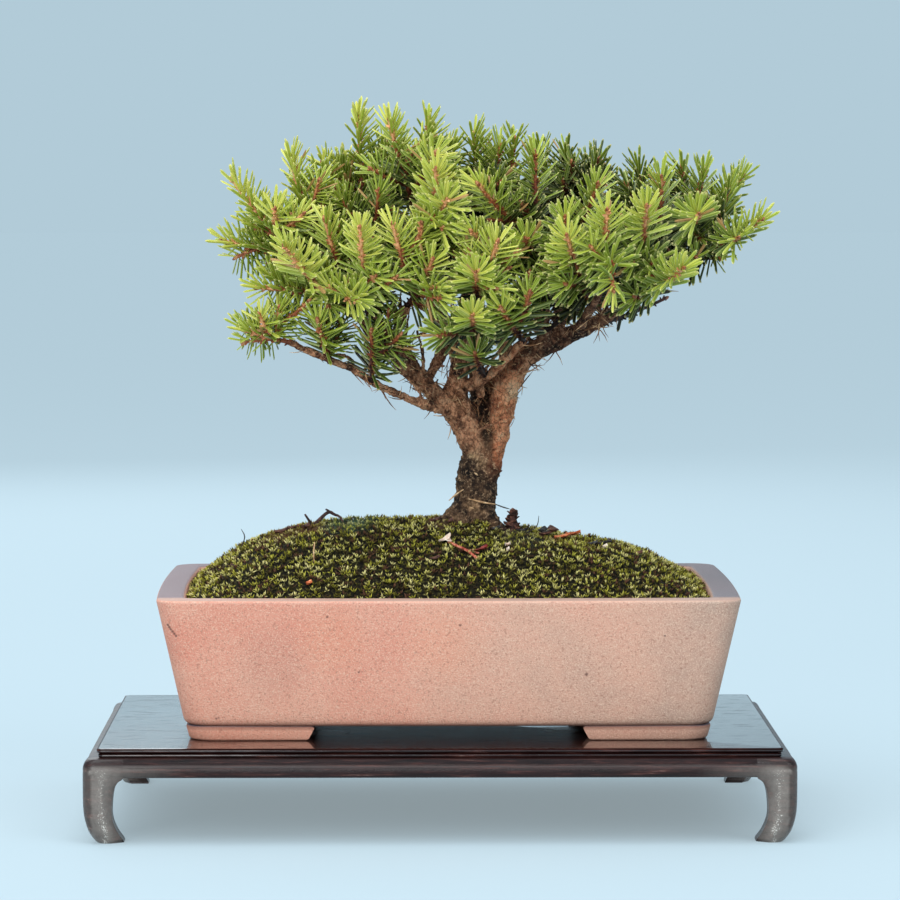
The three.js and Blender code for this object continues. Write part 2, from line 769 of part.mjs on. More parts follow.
// Loose scraps on the moss: an upright cone scale, a dry twig that arches, and a dry petal.
const dryBrown = () => new THREE.MeshStandardMaterial({ color: 0x4a3424, roughness: 0.95, metalness: 0 });
const scaleFoot = mossHeight(SCALE_PLACE.x, SCALE_PLACE.y);
const scaleRings = SCALE_SHAPE.map(([rise, half]) => {
  const ring = [];
  for (let i = 0; i < 6; i += 1) {
    const angle = (Math.PI * i) / 3;
    const x = SCALE_PLACE.x + half * Math.cos(angle) + rise * SCALE_LEAN;
    const y = SCALE_PLACE.y + half * SCALE_THICKNESS_SHARE * Math.sin(angle);
    ring.push(new THREE.Vector3(x, y, scaleFoot + rise));
  }
  return ring;
});
addNode("cone_scale", largestBody(loft(scaleRings).subtract(mossRaised)), dryBrown());

const twigPoints = DRY_TWIG.map(([x, y, rise]) => new THREE.Vector3(x, y, mossHeight(x, y) + rise));
const twigRadii = DRY_TWIG.map(() => DRY_TWIG_RADIUS);
addNode("dry_twig", largestBody(tube(twigPoints, twigRadii, 4).subtract(mossRaised)), dryBrown());

const petalRing = (rise) =>
  DRY_PETAL.map(([x, y]) => new THREE.Vector3(x, y, mossHeight(x, y) + rise));
const pale = new THREE.MeshStandardMaterial({ color: 0xcdb89a, roughness: 0.8, metalness: 0 });
addNode("dry_petal", largestBody(loft([petalRing(0.2), petalRing(1)]).subtract(mossRaised)), pale);

// Leafy sprays: the branch each grows from, how far along it, the tip of its leading shoot, and its
// side shoots, each by how far along the leader it forks and where its tip is.
const SPRAYS = [
  { from: "left_main", at: 1, tip: [-42, -6, 188], sides: [[0.45, [-33, -1, 184]], [0.3, [-50, 6, 172]]] },
  {
    from: "left_main",
    at: 0.9,
    tip: [-58, -12, 181],
    sides: [[0.35, [-61, -6, 164]], [0.5, [-46, -21, 173]]],
  },
  { from: "left_main", at: 0.8, tip: [-43, -38, 163], sides: [[0.25, [-51, -20, 151]]] },
  { from: "left_main", at: 0.7, tip: [-32, -25, 170], sides: [[0.45, [-24, -21, 163]]] },
  { from: "left_main", at: 0.6, tip: [-22, -38, 168], sides: [[0.35, [-31, -31, 151]]] },
  { from: "left_front", at: 1, tip: [-2, -35, 159], sides: [[0.3, [-13, -34, 169]], [0.4, [-5, -30, 169]]] },
  { from: "left_up", at: 1, tip: [-23, 3, 201.4], sides: [[0.3, [-33, 4, 186]], [0.4, [-15, 9, 192]]] },
  { from: "left_up", at: 0.6, tip: [-17, -15, 178], sides: [[0.5, [-28, -10, 176]]] },
  { from: "centre_up", at: 1, tip: [-14, -14, 198], sides: [[0.3, [-1, -22, 189]]] },
  { from: "centre_up", at: 0.75, tip: [-3, 1, 198], sides: [[0.55, [4, 8, 190]], [0.3, [-10, 14, 184]]] },
  { from: "centre_up", at: 0.5, tip: [-1, -31, 184], sides: [[0.6, [2, -35, 176]], [0.35, [3, -27, 166]]] },
  { from: "mid_up", at: 1, tip: [10, 1, 194], sides: [[0.4, [18, -2, 191]]] },
  { from: "mid_up", at: 0.65, tip: [22, 6, 193], sides: [[0.5, [14, 16, 187]]] },
  {
    from: "right_up",
    at: 1,
    tip: [27, -17, 189],
    sides: [[0.12, [9, -34, 167]], [0.4, [11, -27, 180]], [0.25, [24, -31, 165]]],
  },
  { from: "right_up", at: 0.8, tip: [44, -30, 180], sides: [[0.45, [35, -34, 171]]] },
  { from: "right_up", at: 0.45, tip: [43, -23, 151], sides: [] },
  { from: "right_top", at: 1, tip: [37, 10, 189], sides: [[0.3, [46, 5, 187]], [0.2, [44, 17, 186]]] },
  { from: "right_front", at: 0.7, tip: [35, -46, 166], sides: [[0.5, [33, -34, 155]]] },
  { from: "right_front", at: 1, tip: [46, -46, 173], sides: [[0.4, [48, -45, 158]]] },
  { from: "right_main", at: 0.8, tip: [57, -44, 174], sides: [[0.45, [59, -33, 158]]] },
  { from: "right_main", at: 0.87, tip: [62, -29, 182], sides: [[0.55, [53, -16, 180]]] },
  { from: "right_main", at: 0.93, tip: [75, -16, 184], sides: [[0.5, [72, -35, 172]]] },
  { from: "right_main", at: 1, tip: [90, -26, 170], sides: [[0.3, [83, -6, 180]], [0.15, [80, -12, 156]]] },
  { from: "right_main", at: 0.72, tip: [67, -46, 157], sides: [] },
  {
    from: "right_back",
    at: 1,
    tip: [88, 14, 182],
    sides: [[0.3, [70, 6, 185]], [0.4, [84, 25, 172]], [0.2, [74, 32, 166]]],
  },
  { from: "right_back", at: 0.5, tip: [58, 15, 185], sides: [[0.4, [70, 20, 176]]] },
  { from: "right_main", at: 0.6, tip: [66, 16, 147], sides: [[0.4, [56, 28, 148]]] },
  { from: "centre", at: 1, tip: [10, -43, 156], sides: [[0.4, [16, -38, 164]]] },
  { from: "centre", at: 0.72, tip: [9, -42, 144], sides: [[0.35, [0, -31, 138]]] },
  { from: "centre_right", at: 1, tip: [17, -37, 146], sides: [[0.3, [25, -35, 150]]] },
  { from: "centre_right", at: 0.3, tip: [10, -27, 133], sides: [] },
  { from: "left_low", at: 1, tip: [-54, -20, 139], sides: [[0.3, [-45, -23, 145]]] },
  { from: "left_low", at: 0.75, tip: [-34, -27, 142], sides: [] },
  { from: "left_low", at: 0.5, tip: [-19, -27, 139], sides: [[0.5, [-11, -27, 138]]] },
  {
    from: "back_left",
    at: 1,
    tip: [-40, 44, 166],
    sides: [[0.3, [-24, 52, 162]], [0.35, [-30, 38, 178]], [0.3, [-46, 34, 156]]],
  },
  {
    from: "back_left",
    at: 0.75,
    tip: [-27, 26, 186],
    sides: [[0.4, [-40, 28, 178]], [0.45, [-15, 34, 180]]],
  },
  {
    from: "back_left",
    at: 0.5,
    tip: [-41, 14, 180],
    sides: [[0.4, [-54, 18, 166]], [0.25, [-40, 24, 156]]],
  },
  {
    from: "back_middle",
    at: 1,
    tip: [6, 53, 168],
    sides: [[0.3, [-10, 49, 167]], [0.3, [22, 51, 164]], [0.2, [10, 50, 153]]],
  },
  { from: "back_middle", at: 0.7, tip: [2, 28, 190], sides: [[0.5, [12, 38, 180]], [0.4, [-8, 36, 178]]] },
  {
    from: "back_right",
    at: 1,
    tip: [62, 46, 168],
    sides: [[0.3, [44, 52, 166]], [0.4, [72, 38, 164]], [0.2, [56, 50, 152]]],
  },
  { from: "back_right", at: 0.75, tip: [48, 30, 186], sides: [[0.4, [34, 38, 178]], [0.45, [60, 30, 180]]] },
  { from: "back_right", at: 0.5, tip: [30, 22, 190], sides: [[0.5, [22, 34, 180]]] },
];

// A shoot leaves outwards and then turns up to its tip.
function shootPoint(root, tip, t) {
  const bend = new THREE.Vector3(
    THREE.MathUtils.lerp(root.x, tip.x, SHOOT_BEND_OUT),
    THREE.MathUtils.lerp(root.y, tip.y, SHOOT_BEND_OUT),
    THREE.MathUtils.lerp(root.z, tip.z, SHOOT_BEND_UP),
  );
  return new THREE.QuadraticBezierCurve3(root, bend, tip).getPoint(t);
}

// How near two straight pieces come, and where along each.
function nearest(a, b) {
  const u = new THREE.Vector3().subVectors(a.end, a.start);
  const v = new THREE.Vector3().subVectors(b.end, b.start);
  const w = new THREE.Vector3().subVectors(a.start, b.start);
  const uu = u.dot(u);
  const uv = u.dot(v);
  const vv = v.dot(v);
  const uw = u.dot(w);
  const vw = v.dot(w);
  const det = uu * vv - uv * uv;
  let s = det > 1e-9 ? THREE.MathUtils.clamp((uv * vw - vv * uw) / det, 0, 1) : 0;
  const t = THREE.MathUtils.clamp((uv * s + vw) / vv, 0, 1);
  s = THREE.MathUtils.clamp((uv * t - uw) / uu, 0, 1);
  return { s, t, distance: w.addScaledVector(u, s).addScaledVector(v, -t).length() };
}

// Each shoot is a three-sided stem whose rings each turn a little on the last.
const shoots = [];
SPRAYS.forEach((spray, node) => {
  const root = onBranch(spray.from, spray.at);
  const leaderTip = new THREE.Vector3(...spray.tip);
  shoots.push({ node, root, tip: leaderTip, radius: STEM_ROOT_RADIUS, leads: true });
  for (const [at, tip] of spray.sides) {
    const fork = shootPoint(root, leaderTip, at);
    shoots.push({ node, root: fork, tip: new THREE.Vector3(...tip), radius: STEM_FORK_RADIUS });
  }
});

// The rings of a shoot: a bare stretch, in two steps on a leader, then one ring for each whorl of needles.
function shootRings(shoot) {
  const length = shoot.root.distanceTo(shoot.tip);
  const leafy = Math.min(length * LEAFY_SHARE, LEAFY_LENGTH);
  const bare = 1 - leafy / length;
  const whorls = Math.max(2, Math.round(leafy / WHORL_STEP));
  const places = shoot.leads ? [0, bare / 2] : [0];
  for (let k = 0; k <= whorls; k += 1) places.push(bare + ((1 - bare) * k) / whorls);
  let side = new THREE.Vector3(0, 0, 1);
  return places.map((t, k) => {
    const centre = shootPoint(shoot.root, shoot.tip, t);
    const ahead = shootPoint(shoot.root, shoot.tip, Math.min(t + 0.01, 1));
    const along = ahead.sub(shootPoint(shoot.root, shoot.tip, Math.max(t - 0.01, 0))).normalize();
    if (k === 0 && Math.abs(along.z) > 0.9) side = new THREE.Vector3(1, 0, 0);
    const across = new THREE.Vector3().crossVectors(side, along).normalize();
    side = new THREE.Vector3().crossVectors(along, across).normalize();
    const radius = THREE.MathUtils.lerp(shoot.radius, STEM_TIP_RADIUS, t);
    const corners = [];
    for (let i = 0; i < 3; i += 1) {
      const angle = (2 * Math.PI * i) / 3 + k * WHORL_TURN;
      const out = across.clone().multiplyScalar(Math.cos(angle) * radius);
      corners.push(out.addScaledVector(side, Math.sin(angle) * radius).add(centre));
    }
    return { t, centre, along, radius, corners, leafy: t >= bare };
  });
}

// Everything a needle has to keep clear of: the wood, every stem, and the needles placed so far.
const taken = [];
for (const shoot of shoots) {
  shoot.rings = shootRings(shoot);
  for (let k = 0; k + 1 < shoot.rings.length; k += 1) {
    const { centre, radius } = shoot.rings[k];
    taken.push({ node: shoot.node, shoot, start: centre, end: shoot.rings[k + 1].centre, radius, taper: 0 });
  }
}
for (const name of branchNames) {
  const rows = BRANCHES[name];
  for (let i = 0; i + 1 < rows.length; i += 1) {
    const start = new THREE.Vector3(...rows[i].slice(0, 3));
    const end = new THREE.Vector3(...rows[i + 1].slice(0, 3));
    taken.push({ node: -1, start, end, radius: rows[i][3], taper: 0 });
  }
}

// Whether a needle keeps clear of other sprays and the wood, and of the rest of its own spray.
function isClear(needle) {
  const outer = { start: needle.start.clone().lerp(needle.end, OWN_CLEAR_FROM), end: needle.end };
  for (const other of taken) {
    const own = other.node === needle.node;
    const near = nearest(own ? outer : needle, other);
    const s = own ? THREE.MathUtils.lerp(OWN_CLEAR_FROM, 1, near.s) : near.s;
    const thickness = needle.radius * (1 - NEEDLE_TAPER * s) + other.radius * (1 - other.taper * near.t);
    const room = own ? OWN_CLEARANCE : GAP;
    const ownStem = own && other.shoot === needle.shoot && other.taper === 0;
    if (!ownStem && near.distance < thickness + room) return false;
  }
  return true;
}

// A needle's foot is the ring's edge A-B and a point P ahead of it; turned and leaned until it is clear.
const needleRandom = seeded(NEEDLE_SEED);
const TURNS = [0, 18, -18, 36, -36, 52, -52];
const LEANS = [0, -12, 10];
const LENGTHS = [1, 0.82];

const needleFrom = (shoot, start, end) =>
  ({ node: shoot.node, shoot, start, end, radius: NEEDLE_RADIUS, taper: NEEDLE_TAPER });

function clearNeedle(shoot, foot, along, lean, reach) {
  const outward = foot.face.clone().addScaledVector(along, -foot.face.dot(along)).normalize();
  for (const share of LENGTHS) {
    for (const leanChange of LEANS) {
      for (const degrees of TURNS) {
        const out = outward.clone().applyAxisAngle(along, THREE.MathUtils.degToRad(degrees));
        const angle = THREE.MathUtils.degToRad(lean + leanChange);
        const way = along.clone().multiplyScalar(Math.cos(angle)).addScaledVector(out, Math.sin(angle));
        const end = foot.middle.clone().addScaledVector(way, reach * share);
        const needle = needleFrom(shoot, foot.middle, end);
        if (isClear(needle)) return needle;
      }
    }
  }
  return null;
}

// A shoot's closed surface, with a needle raised from each face at each ring, and one from its tip.
function shootSolid(shoot) {
  const positions = [];
  const index = [];
  const add = (p) => positions.push(p.x, p.y, p.z) / 3 - 1;
  const numbers = shoot.rings.map((ring) => ring.corners.map(add));
  const last = shoot.rings.length - 1;
  for (let k = 0; k < last; k += 1) {
    for (let j = 0; j < 3; j += 1) {
      const next = (j + 1) % 3;
      const [a, b] = [numbers[k][j], numbers[k][next]];
      const [d, c] = [numbers[k + 1][j], numbers[k + 1][next]];
      const needle = shoot.needles[`${k},${j}`];
      if (!needle) {
        index.push(a, b, c, a, c, d);
        continue;
      }
      const p = add(needle.peg);
      const tip = add(needle.end);
      index.push(a, b, tip, b, p, tip, p, a, tip);
      index.push(b, c, p, c, d, p, d, a, p);
    }
  }
  index.push(numbers[0][0], numbers[0][2], numbers[0][1]);
  const bud = add(shoot.tip.clone().addScaledVector(shoot.rings[last].along, shoot.budReach));
  for (let j = 0; j < 3; j += 1) index.push(numbers[last][j], numbers[last][(j + 1) % 3], bud);
  const geometry = new THREE.BufferGeometry();
  geometry.setAttribute("position", new THREE.Float32BufferAttribute(positions, 3));
  geometry.setIndex(index);
  return solidFrom(geometry);
}

for (const shoot of shoots) {
  shoot.needles = {};
  const { rings } = shoot;
  const last = rings.length - 1;
  const reachOf = () => NEEDLE_LENGTH * (1 + NEEDLE_SPREAD * (needleRandom() - 0.5));
  const budEnd = shoot.tip.clone().addScaledVector(rings[last].along, BUD_REACH);
  const budNeedle = needleFrom(shoot, rings[last].centre, budEnd);
  shoot.budReach = isClear(budNeedle) ? BUD_REACH : 1;
  taken.push(budNeedle);
  for (let k = last - 1; rings[k].leafy; k -= 1) {
    for (let j = 0; j < 3; j += 1) {
      const next = (j + 1) % 3;
      const a = rings[k].corners[j];
      const b = rings[k].corners[next];
      const edge = a.clone().lerp(b, 0.5);
      const edgeAhead = rings[k + 1].corners[j].clone().lerp(rings[k + 1].corners[next], 0.5);
      const peg = edge.clone().lerp(edgeAhead, PEG_LENGTH / edge.distanceTo(edgeAhead));
      const middle = a.clone().add(b).add(peg).divideScalar(3);
      const foot = { middle, face: edge.clone().sub(rings[k].centre) };
      const lean = k === last - 1 ? TIP_LEAN : THREE.MathUtils.lerp(ROOT_LEAN, TIP_LEAN, rings[k].t ** 2);
      const needle = clearNeedle(shoot, foot, rings[k].along, lean, reachOf());
      if (!needle) continue;
      needle.peg = peg;
      shoot.needles[`${k},${j}`] = needle;
      taken.push(needle);
    }
  }
}

const leaf = () => new THREE.MeshStandardMaterial({ color: 0x7f9a3a, roughness: 0.6, metalness: 0 });
SPRAYS.forEach((_, node) => {
  const parts = shoots.filter((shoot) => shoot.node === node).map(shootSolid);
  const whole = parts.reduce((sum, part) => sum.add(part));
  const name = `spray_${String(node + 1).padStart(2, "0")}`;
  addNode(name, largestBody(whole.subtract(treeFat)), leaf());
});

export default group;
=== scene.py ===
# A dwarf ezo spruce bonsai: the tree in its mossed clay pot on a low lacquered stand.
import math
import random

import bmesh
import bpy
from mathutils import Matrix, Vector, noise


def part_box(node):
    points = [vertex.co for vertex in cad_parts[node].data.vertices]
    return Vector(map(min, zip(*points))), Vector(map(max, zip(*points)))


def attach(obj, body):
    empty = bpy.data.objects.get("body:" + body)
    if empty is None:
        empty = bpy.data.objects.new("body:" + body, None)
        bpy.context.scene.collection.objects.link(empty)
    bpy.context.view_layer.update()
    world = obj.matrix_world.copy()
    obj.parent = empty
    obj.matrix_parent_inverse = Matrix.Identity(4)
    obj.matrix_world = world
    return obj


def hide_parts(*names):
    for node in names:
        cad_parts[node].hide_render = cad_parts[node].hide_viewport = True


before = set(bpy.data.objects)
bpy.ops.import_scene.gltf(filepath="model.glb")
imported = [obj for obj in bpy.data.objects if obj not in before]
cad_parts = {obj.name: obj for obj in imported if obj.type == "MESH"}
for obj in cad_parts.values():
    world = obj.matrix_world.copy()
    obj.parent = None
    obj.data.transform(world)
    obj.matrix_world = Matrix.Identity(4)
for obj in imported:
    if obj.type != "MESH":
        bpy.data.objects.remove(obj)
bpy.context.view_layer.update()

MM = 0.001


# The view: a long lens a little above the pot's rim, over a plain pale floor, under soft studio light
# from two large boxes in front, one overhead and one behind.
VIEW_PLACE = (-0.0101, -1.2107, 0.183)
VIEW_DOWN = 3.733
VIEW_RIGHT = 0.635
VIEW_LENS = 169.2
VIEW_SENSOR = 36
VIEW_NEAREST = 0.05
VIEW_FARTHEST = 60
LIGHT_BOXES = [
    ("front left box", (-0.55, -1.5, 0.5), 0.7, 10),
    ("front right box", (0.9, -1.0, 1.0), 0.8, 6),
    ("overhead box", (-0.1, -0.1, 1.25), 1.0, 8),
    ("back box", (-0.3, 1.1, 0.7), 0.9, 3.5),
]
LIGHT_AIM = Vector((0, 0, 0.1))
ROOM_LIGHT = 1.3
ROOM_LIGHT_SPREAD = 70
ROOM_LIGHT_FROM = Vector((-0.35, -0.7, 1))
FLOOR_REACH = 12
FLOOR_GLOW = (0.24, 0.29, 0.31, 1)


def paint(red, green, blue):
    """A colour as seen on screen, from 0 to 255, in the linear values that materials take."""
    def linear(value):
        value /= 255
        return value / 12.92 if value <= 0.04045 else ((value + 0.055) / 1.055) ** 2.4
    return (linear(red), linear(green), linear(blue), 1)


def put(name, data):
    """A new object, in the scene."""
    thing = bpy.data.objects.new(name, data)
    bpy.context.scene.collection.objects.link(thing)
    return thing


def feed(tree, socket, value):
    """Links a node or one of its results to a socket, or sets the socket to a plain value."""
    if isinstance(value, bpy.types.Node):
        value = value.outputs[0]
    if isinstance(value, bpy.types.NodeSocket):
        tree.links.new(value, socket)
    else:
        socket.default_value = value


def grow(tree, kind, feeds=None, **settings):
    """A new node in a tree, with its settings, and with values or other nodes fed to its inputs."""
    node = tree.nodes.new(kind)
    for key, value in settings.items():
        setattr(node, key, value)
    for key, value in (feeds or {}).items():
        feed(tree, node.inputs[key], value)
    return node


def shade(tree, feeds):
    """Feeds values or nodes to the inputs of a finish's shader."""
    for key, value in feeds.items():
        feed(tree, tree.nodes["Principled BSDF"].inputs[key], value)


def new_finish(name, roughness, specular=0.5):
    """A material and its tree."""
    material = bpy.data.materials.new(name)
    material.use_nodes = True
    shade(material.node_tree, {"Roughness": roughness, "Specular IOR Level": specular})
    return material, material.node_tree


view_data = bpy.data.cameras.new("view")
view_data.sensor_width = VIEW_SENSOR
view_data.lens = VIEW_LENS
view_data.clip_start = VIEW_NEAREST
view_data.clip_end = VIEW_FARTHEST
view = put("view", view_data)
view.location = VIEW_PLACE
view.rotation_euler = (math.radians(90 - VIEW_DOWN), 0, math.radians(-VIEW_RIGHT))
bpy.context.scene.camera = view
bpy.context.scene.view_settings.view_transform = "Standard"

for label, place, width, power in LIGHT_BOXES:
    box = bpy.data.lights.new(label, "AREA")
    box.shape = "SQUARE"
    box.size = width
    box.energy = power
    lamp = put(label, box)
    lamp.location = place
    lamp.rotation_euler = (Vector(place) - LIGHT_AIM).to_track_quat("Z", "Y").to_euler()

room = bpy.data.lights.new("room light", "SUN")
room.energy = ROOM_LIGHT
room.angle = math.radians(ROOM_LIGHT_SPREAD)
put("room light", room).rotation_euler = ROOM_LIGHT_FROM.to_track_quat("Z", "Y").to_euler()

world = bpy.data.worlds.new("studio")
world.use_nodes = True
backdrop = world.node_tree.nodes["Background"]
backdrop.inputs["Color"].default_value = paint(178, 203, 216)
backdrop.inputs["Strength"].default_value = 1
bpy.context.scene.world = world

floor_mesh = bpy.data.meshes.new("floor")
floor_mesh.from_pydata(
    [(x * FLOOR_REACH, y * FLOOR_REACH, 0) for x, y in ((-1, -1), (1, -1), (1, 1), (-1, 1))],
    [],
    [(0, 1, 2, 3)],
)
floor_finish, tree = new_finish("pale floor", 1, 0)
shade(tree, {"Base Color": paint(142, 157, 165), "Emission Color": FLOOR_GLOW, "Emission Strength": 1})
floor_mesh.materials.append(floor_finish)
floor = put("floor", floor_mesh)


# Stand: a thin hardwood slab with a moulded edge, on four rails between four legs that curve in to their
# toes. It is finished in near-black lacquer, scuffed grey on the legs and on the rails beside them; that
# grey is partly real scuffing and partly painted highlight, with a painted highlight line along each leg's
# arris and shoulder, and painted glints.
SLAB_CORNER = 1.6 * MM
LIP_HEIGHT = 1.2 * MM
GROOVE_DEPTH = 1.1 * MM
GROOVE_HEIGHT = 0.15 * MM
GROOVE_EASE = 0.05 * MM
BEAD_INSET = 0.45 * MM
BEAD_SWELL = 0.6
EDGE_STEPS = 8
GRAIN_SCALE = (60, 900, 900)
FLECK_SCALE = (110, 300, 300)


def piece(name, mesh, finish, slot, *solids):
    """A finished piece of the part, with its finish, on its body and in place of the solids it dresses."""
    thing = put(name, mesh)
    if not mesh.materials:
        mesh.materials.append(finish)
    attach(thing, "root")
    if solids:
        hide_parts(*solids)


def face_out(mesh, smooth_angle):
    """Turns every face outwards and shades the mesh smooth, up to an angle between faces."""
    work = bmesh.new()
    work.from_mesh(mesh)
    bmesh.ops.remove_doubles(work, verts=work.verts, dist=1e-6)
    bmesh.ops.recalc_face_normals(work, faces=work.faces)
    for face in work.faces:
        face.smooth = True
    work.to_mesh(mesh)
    work.free()
    mesh.set_sharp_from_angle(angle=math.radians(smooth_angle))


def stacked(rings):
    """Points and faces of a closed shape through rings of points, with both ends filled."""
    count = len(rings[0])
    points = [point for ring in rings for point in ring]
    faces = []
    for k in range(len(rings) - 1):
        for i in range(count):
            a, b = k * count + i, k * count + (i + 1) % count
            faces.append((a, b, b + count, a + count))
    faces.append(tuple(reversed(range(count))))
    faces.append(tuple(range(len(points) - count, len(points))))
    return points, faces


def loft(name, rings, smooth_angle=40):
    """A closed mesh through rings of points."""
    points, faces = stacked(rings)
    mesh = bpy.data.meshes.new(name)
    mesh.from_pydata(points, [], faces)
    face_out(mesh, smooth_angle)
    return mesh


def outline(half_x, half_y, corner, z, corner_steps=6, side_steps=1, bow=0.0, centre=(0, 0)):
    """A level outline with round corners, whose sides bow out a little at the middle."""
    flat_x, flat_y = half_x - bow, half_y - bow
    corners = ((1, 1), (-1, 1), (-1, -1), (1, -1))
    ring = []
    for k, (sx, sy) in enumerate(corners):
        for i in range(corner_steps + 1):
            angle = math.pi / 2 * (k + i / corner_steps)
            x = sx * (flat_x - corner) + corner * math.cos(angle)
            y = sy * (flat_y - corner) + corner * math.sin(angle)
            ring.append(Vector((centre[0] + x, centre[1] + y, z)))
        nx, ny = corners[(k + 1) % 4]
        for i in range(1, side_steps):
            t = i / side_steps
            out = bow * 4 * t * (1 - t)
            if k % 2 == 0:
                x, y = (sx + (nx - sx) * t) * (flat_x - corner), sy * (flat_y + out)
            else:
                x, y = sx * (flat_x + out), (sy + (ny - sy) * t) * (flat_y - corner)
            ring.append(Vector((centre[0] + x, centre[1] + y, z)))
    return ring


def swept(first, turn, steps):
    """Even steps from a first angle through a turn; both are in degrees, the result in radians."""
    return [math.radians(first + turn * i / steps) for i in range(steps + 1)]


def mark(mesh, name, values, kind="FLOAT"):
    """Stores a named value for each of a mesh's points."""
    field = "vector" if kind == "FLOAT_VECTOR" else "value"
    mesh.attributes.new(name, kind, "POINT").data.foreach_set(field, values)


def object_place(tree):
    """The place on the piece, which a finish's patterns read."""
    return grow(tree, "ShaderNodeTexCoord").outputs["Object"]


def facing_up(tree):
    """How far a surface faces up, from -1 to 1."""
    normal = grow(tree, "ShaderNodeNewGeometry").outputs["Normal"]
    return grow(tree, "ShaderNodeSeparateXYZ", {0: normal}).outputs[2]


def marked(tree, name):
    """A value that the mesh's points carry."""
    return grow(tree, "ShaderNodeAttribute", attribute_name=name).outputs["Fac"]


def speckle(tree, place, scale, detail=2.0, roughness=0.5):
    """Noise over a piece, spread round 0.5."""
    feeds = {0: place, "Scale": scale, "Detail": detail, "Roughness": roughness}
    return grow(tree, "ShaderNodeTexNoise", feeds).outputs[0]


def span(tree, factor, low, high, start=0.0, end=1.0):
    """A factor's run from low to high turned into a run from start to end, and held there beyond."""
    return grow(tree, "ShaderNodeMapRange", {0: factor, 1: low, 2: high, 3: start, 4: end}).outputs[0]


def reckon(tree, operation, first, second=0.0):
    """One sum on two factors."""
    return grow(tree, "ShaderNodeMath", {0: first, 1: second}, operation=operation).outputs[0]


def ramp(tree, factor, *stops):
    """Colours along a factor; each stop is a place and a colour as seen on screen, or a place and a grey."""
    node = grow(tree, "ShaderNodeValToRGB", {0: factor})
    elements = node.color_ramp.elements
    tones = [(place, paint(*tone) if len(tone) == 3 else (*tone * 3, 1)) for place, *tone in stops]
    elements[0].position, elements[0].color = tones[0]
    elements[1].position, elements[1].color = tones[-1]
    for place, colour in tones[1:-1]:
        elements.new(place).color = colour
    return node.outputs[0]


def lay(tree, factor, ground, layer, how="MIX"):
    """One colour laid over another by a factor; a plain colour is given as seen on screen."""
    ground, layer = [paint(*tone) if isinstance(tone, tuple) else tone for tone in (ground, layer)]
    feeds = {0: factor, 6: ground, 7: layer}
    return grow(tree, "ShaderNodeMix", feeds, data_type="RGBA", blend_type=how).outputs[2]


def coat(tree, colour, height=None, strength=0.0, depth=0.0, **settings):
    """Gives a finish its colour and, where it has a height, its fine relief."""
    shade(tree, {"Base Color": colour})
    if height is not None:
        feeds = {"Strength": strength, "Distance": depth, "Height": height}
        shade(tree, {"Normal": grow(tree, "ShaderNodeBump", feeds, **settings)})


def lacquer_finish(name, grain_turn, gloss):
    """Near-black lacquer over open-grained wood; the grain runs along X, or along Y where it is turned.
    Where a piece is marked for it, the lacquer turns scuffed grey with painted highlight, dotted with
    painted glints.
    """
    material, tree = new_finish(name, 0.24, 0.26)
    place = object_place(tree)
    turn = (0, 0, math.radians(grain_turn))
    grain = speckle(tree, grow(tree, "ShaderNodeMapping", {0: place, 2: turn, 3: GRAIN_SCALE}), 1, 6, 0.7)
    wood = ramp(tree, grain, (0.3, 12, 5, 5), (0.54, 38, 15, 13), (0.64, 74, 40, 34), (0.73, 150, 128, 118))
    # The mark read here is part scuffing of the lacquer and part painted highlight where legs and rails
    # catch the light.
    wear_and_sheen = marked(tree, "wear_and_sheen")
    evened = span(tree, speckle(tree, place, 600, 5, 0.7), 0.3, 0.7, 0.72, 1.05)
    worn_and_sheen = span(tree, reckon(tree, "MULTIPLY", wear_and_sheen, evened), 0.05, 0.95, 0, 0.85)
    rubbed_and_sheen = lay(tree, worn_and_sheen, wood, (152, 142, 134))
    # Painted glints: bright dots where the mark is strongest, standing in for highlights on the lacquer.
    glinting = reckon(tree, "MULTIPLY", wear_and_sheen, speckle(tree, place, 2700))
    rubbed_sheen_and_glints = lay(tree, span(tree, glinting, 0.46, 0.58, 0, 0.9), rubbed_and_sheen, (226, 218, 208))
    coat(tree, rubbed_sheen_and_glints, reckon(tree, "ADD", grain, speckle(tree, place, 1900, 3)), 0.35, 0.0003)
    shade(tree, {
        "Roughness": span(tree, grain, 0.35, 0.75, 0.24 - 0.14 * gloss, 0.5 - 0.3 * gloss),
        "Coat Weight": 0.12 + 0.88 * gloss,
        "Coat Roughness": 0.16 - 0.12 * gloss,
    })
    if gloss:
        lip = ramp(tree, facing_up(tree), (0.2, 1), (0.36, 0.02), (0.985, 0.02), (0.997, 1))
        flecks = speckle(tree, grow(tree, "ShaderNodeMapping", {0: place, 3: FLECK_SCALE}), 1, 4, 0.6)
        dulled = ramp(tree, flecks, (0.54, 1), (0.64, 0.55))
        shade(tree, {
            "Coat Weight": reckon(tree, "MULTIPLY", lip, dulled),
            "Specular IOR Level": reckon(tree, "MULTIPLY", lip, 0.26),
        })
    return material


slab_low, slab_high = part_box("stand_top")
bead_top = slab_high.z - LIP_HEIGHT - GROOVE_HEIGHT
bead_half = (bead_top - slab_low.z) / 2
slab_edge = []
for angle in swept(-90, 170, EDGE_STEPS):
    inset = BEAD_INSET + BEAD_SWELL * bead_half * (1 - math.cos(angle))
    slab_edge.append((inset, slab_low.z + bead_half * (1 + math.sin(angle))))
slab_edge.append((GROOVE_DEPTH, bead_top + GROOVE_EASE))
for angle in swept(-80, 170, EDGE_STEPS):
    rise = slab_high.z - LIP_HEIGHT / 2 + LIP_HEIGHT / 2 * math.sin(angle)
    slab_edge.append((LIP_HEIGHT / 2 * (1 - math.cos(angle)), rise))
slab_rings = [outline(slab_high.x - inset, slab_high.y - inset, SLAB_CORNER, z) for inset, z in slab_edge]
lacquer_top = lacquer_finish("polished lacquer", 0, 1)
lacquer = lacquer_finish("lacquer", 0, 0)
lacquer_turned = lacquer_finish("lacquer across", 90, 0)
piece("stand_slab", loft("stand_slab", slab_rings), lacquer_top, "lacquered_wood", "stand_top")

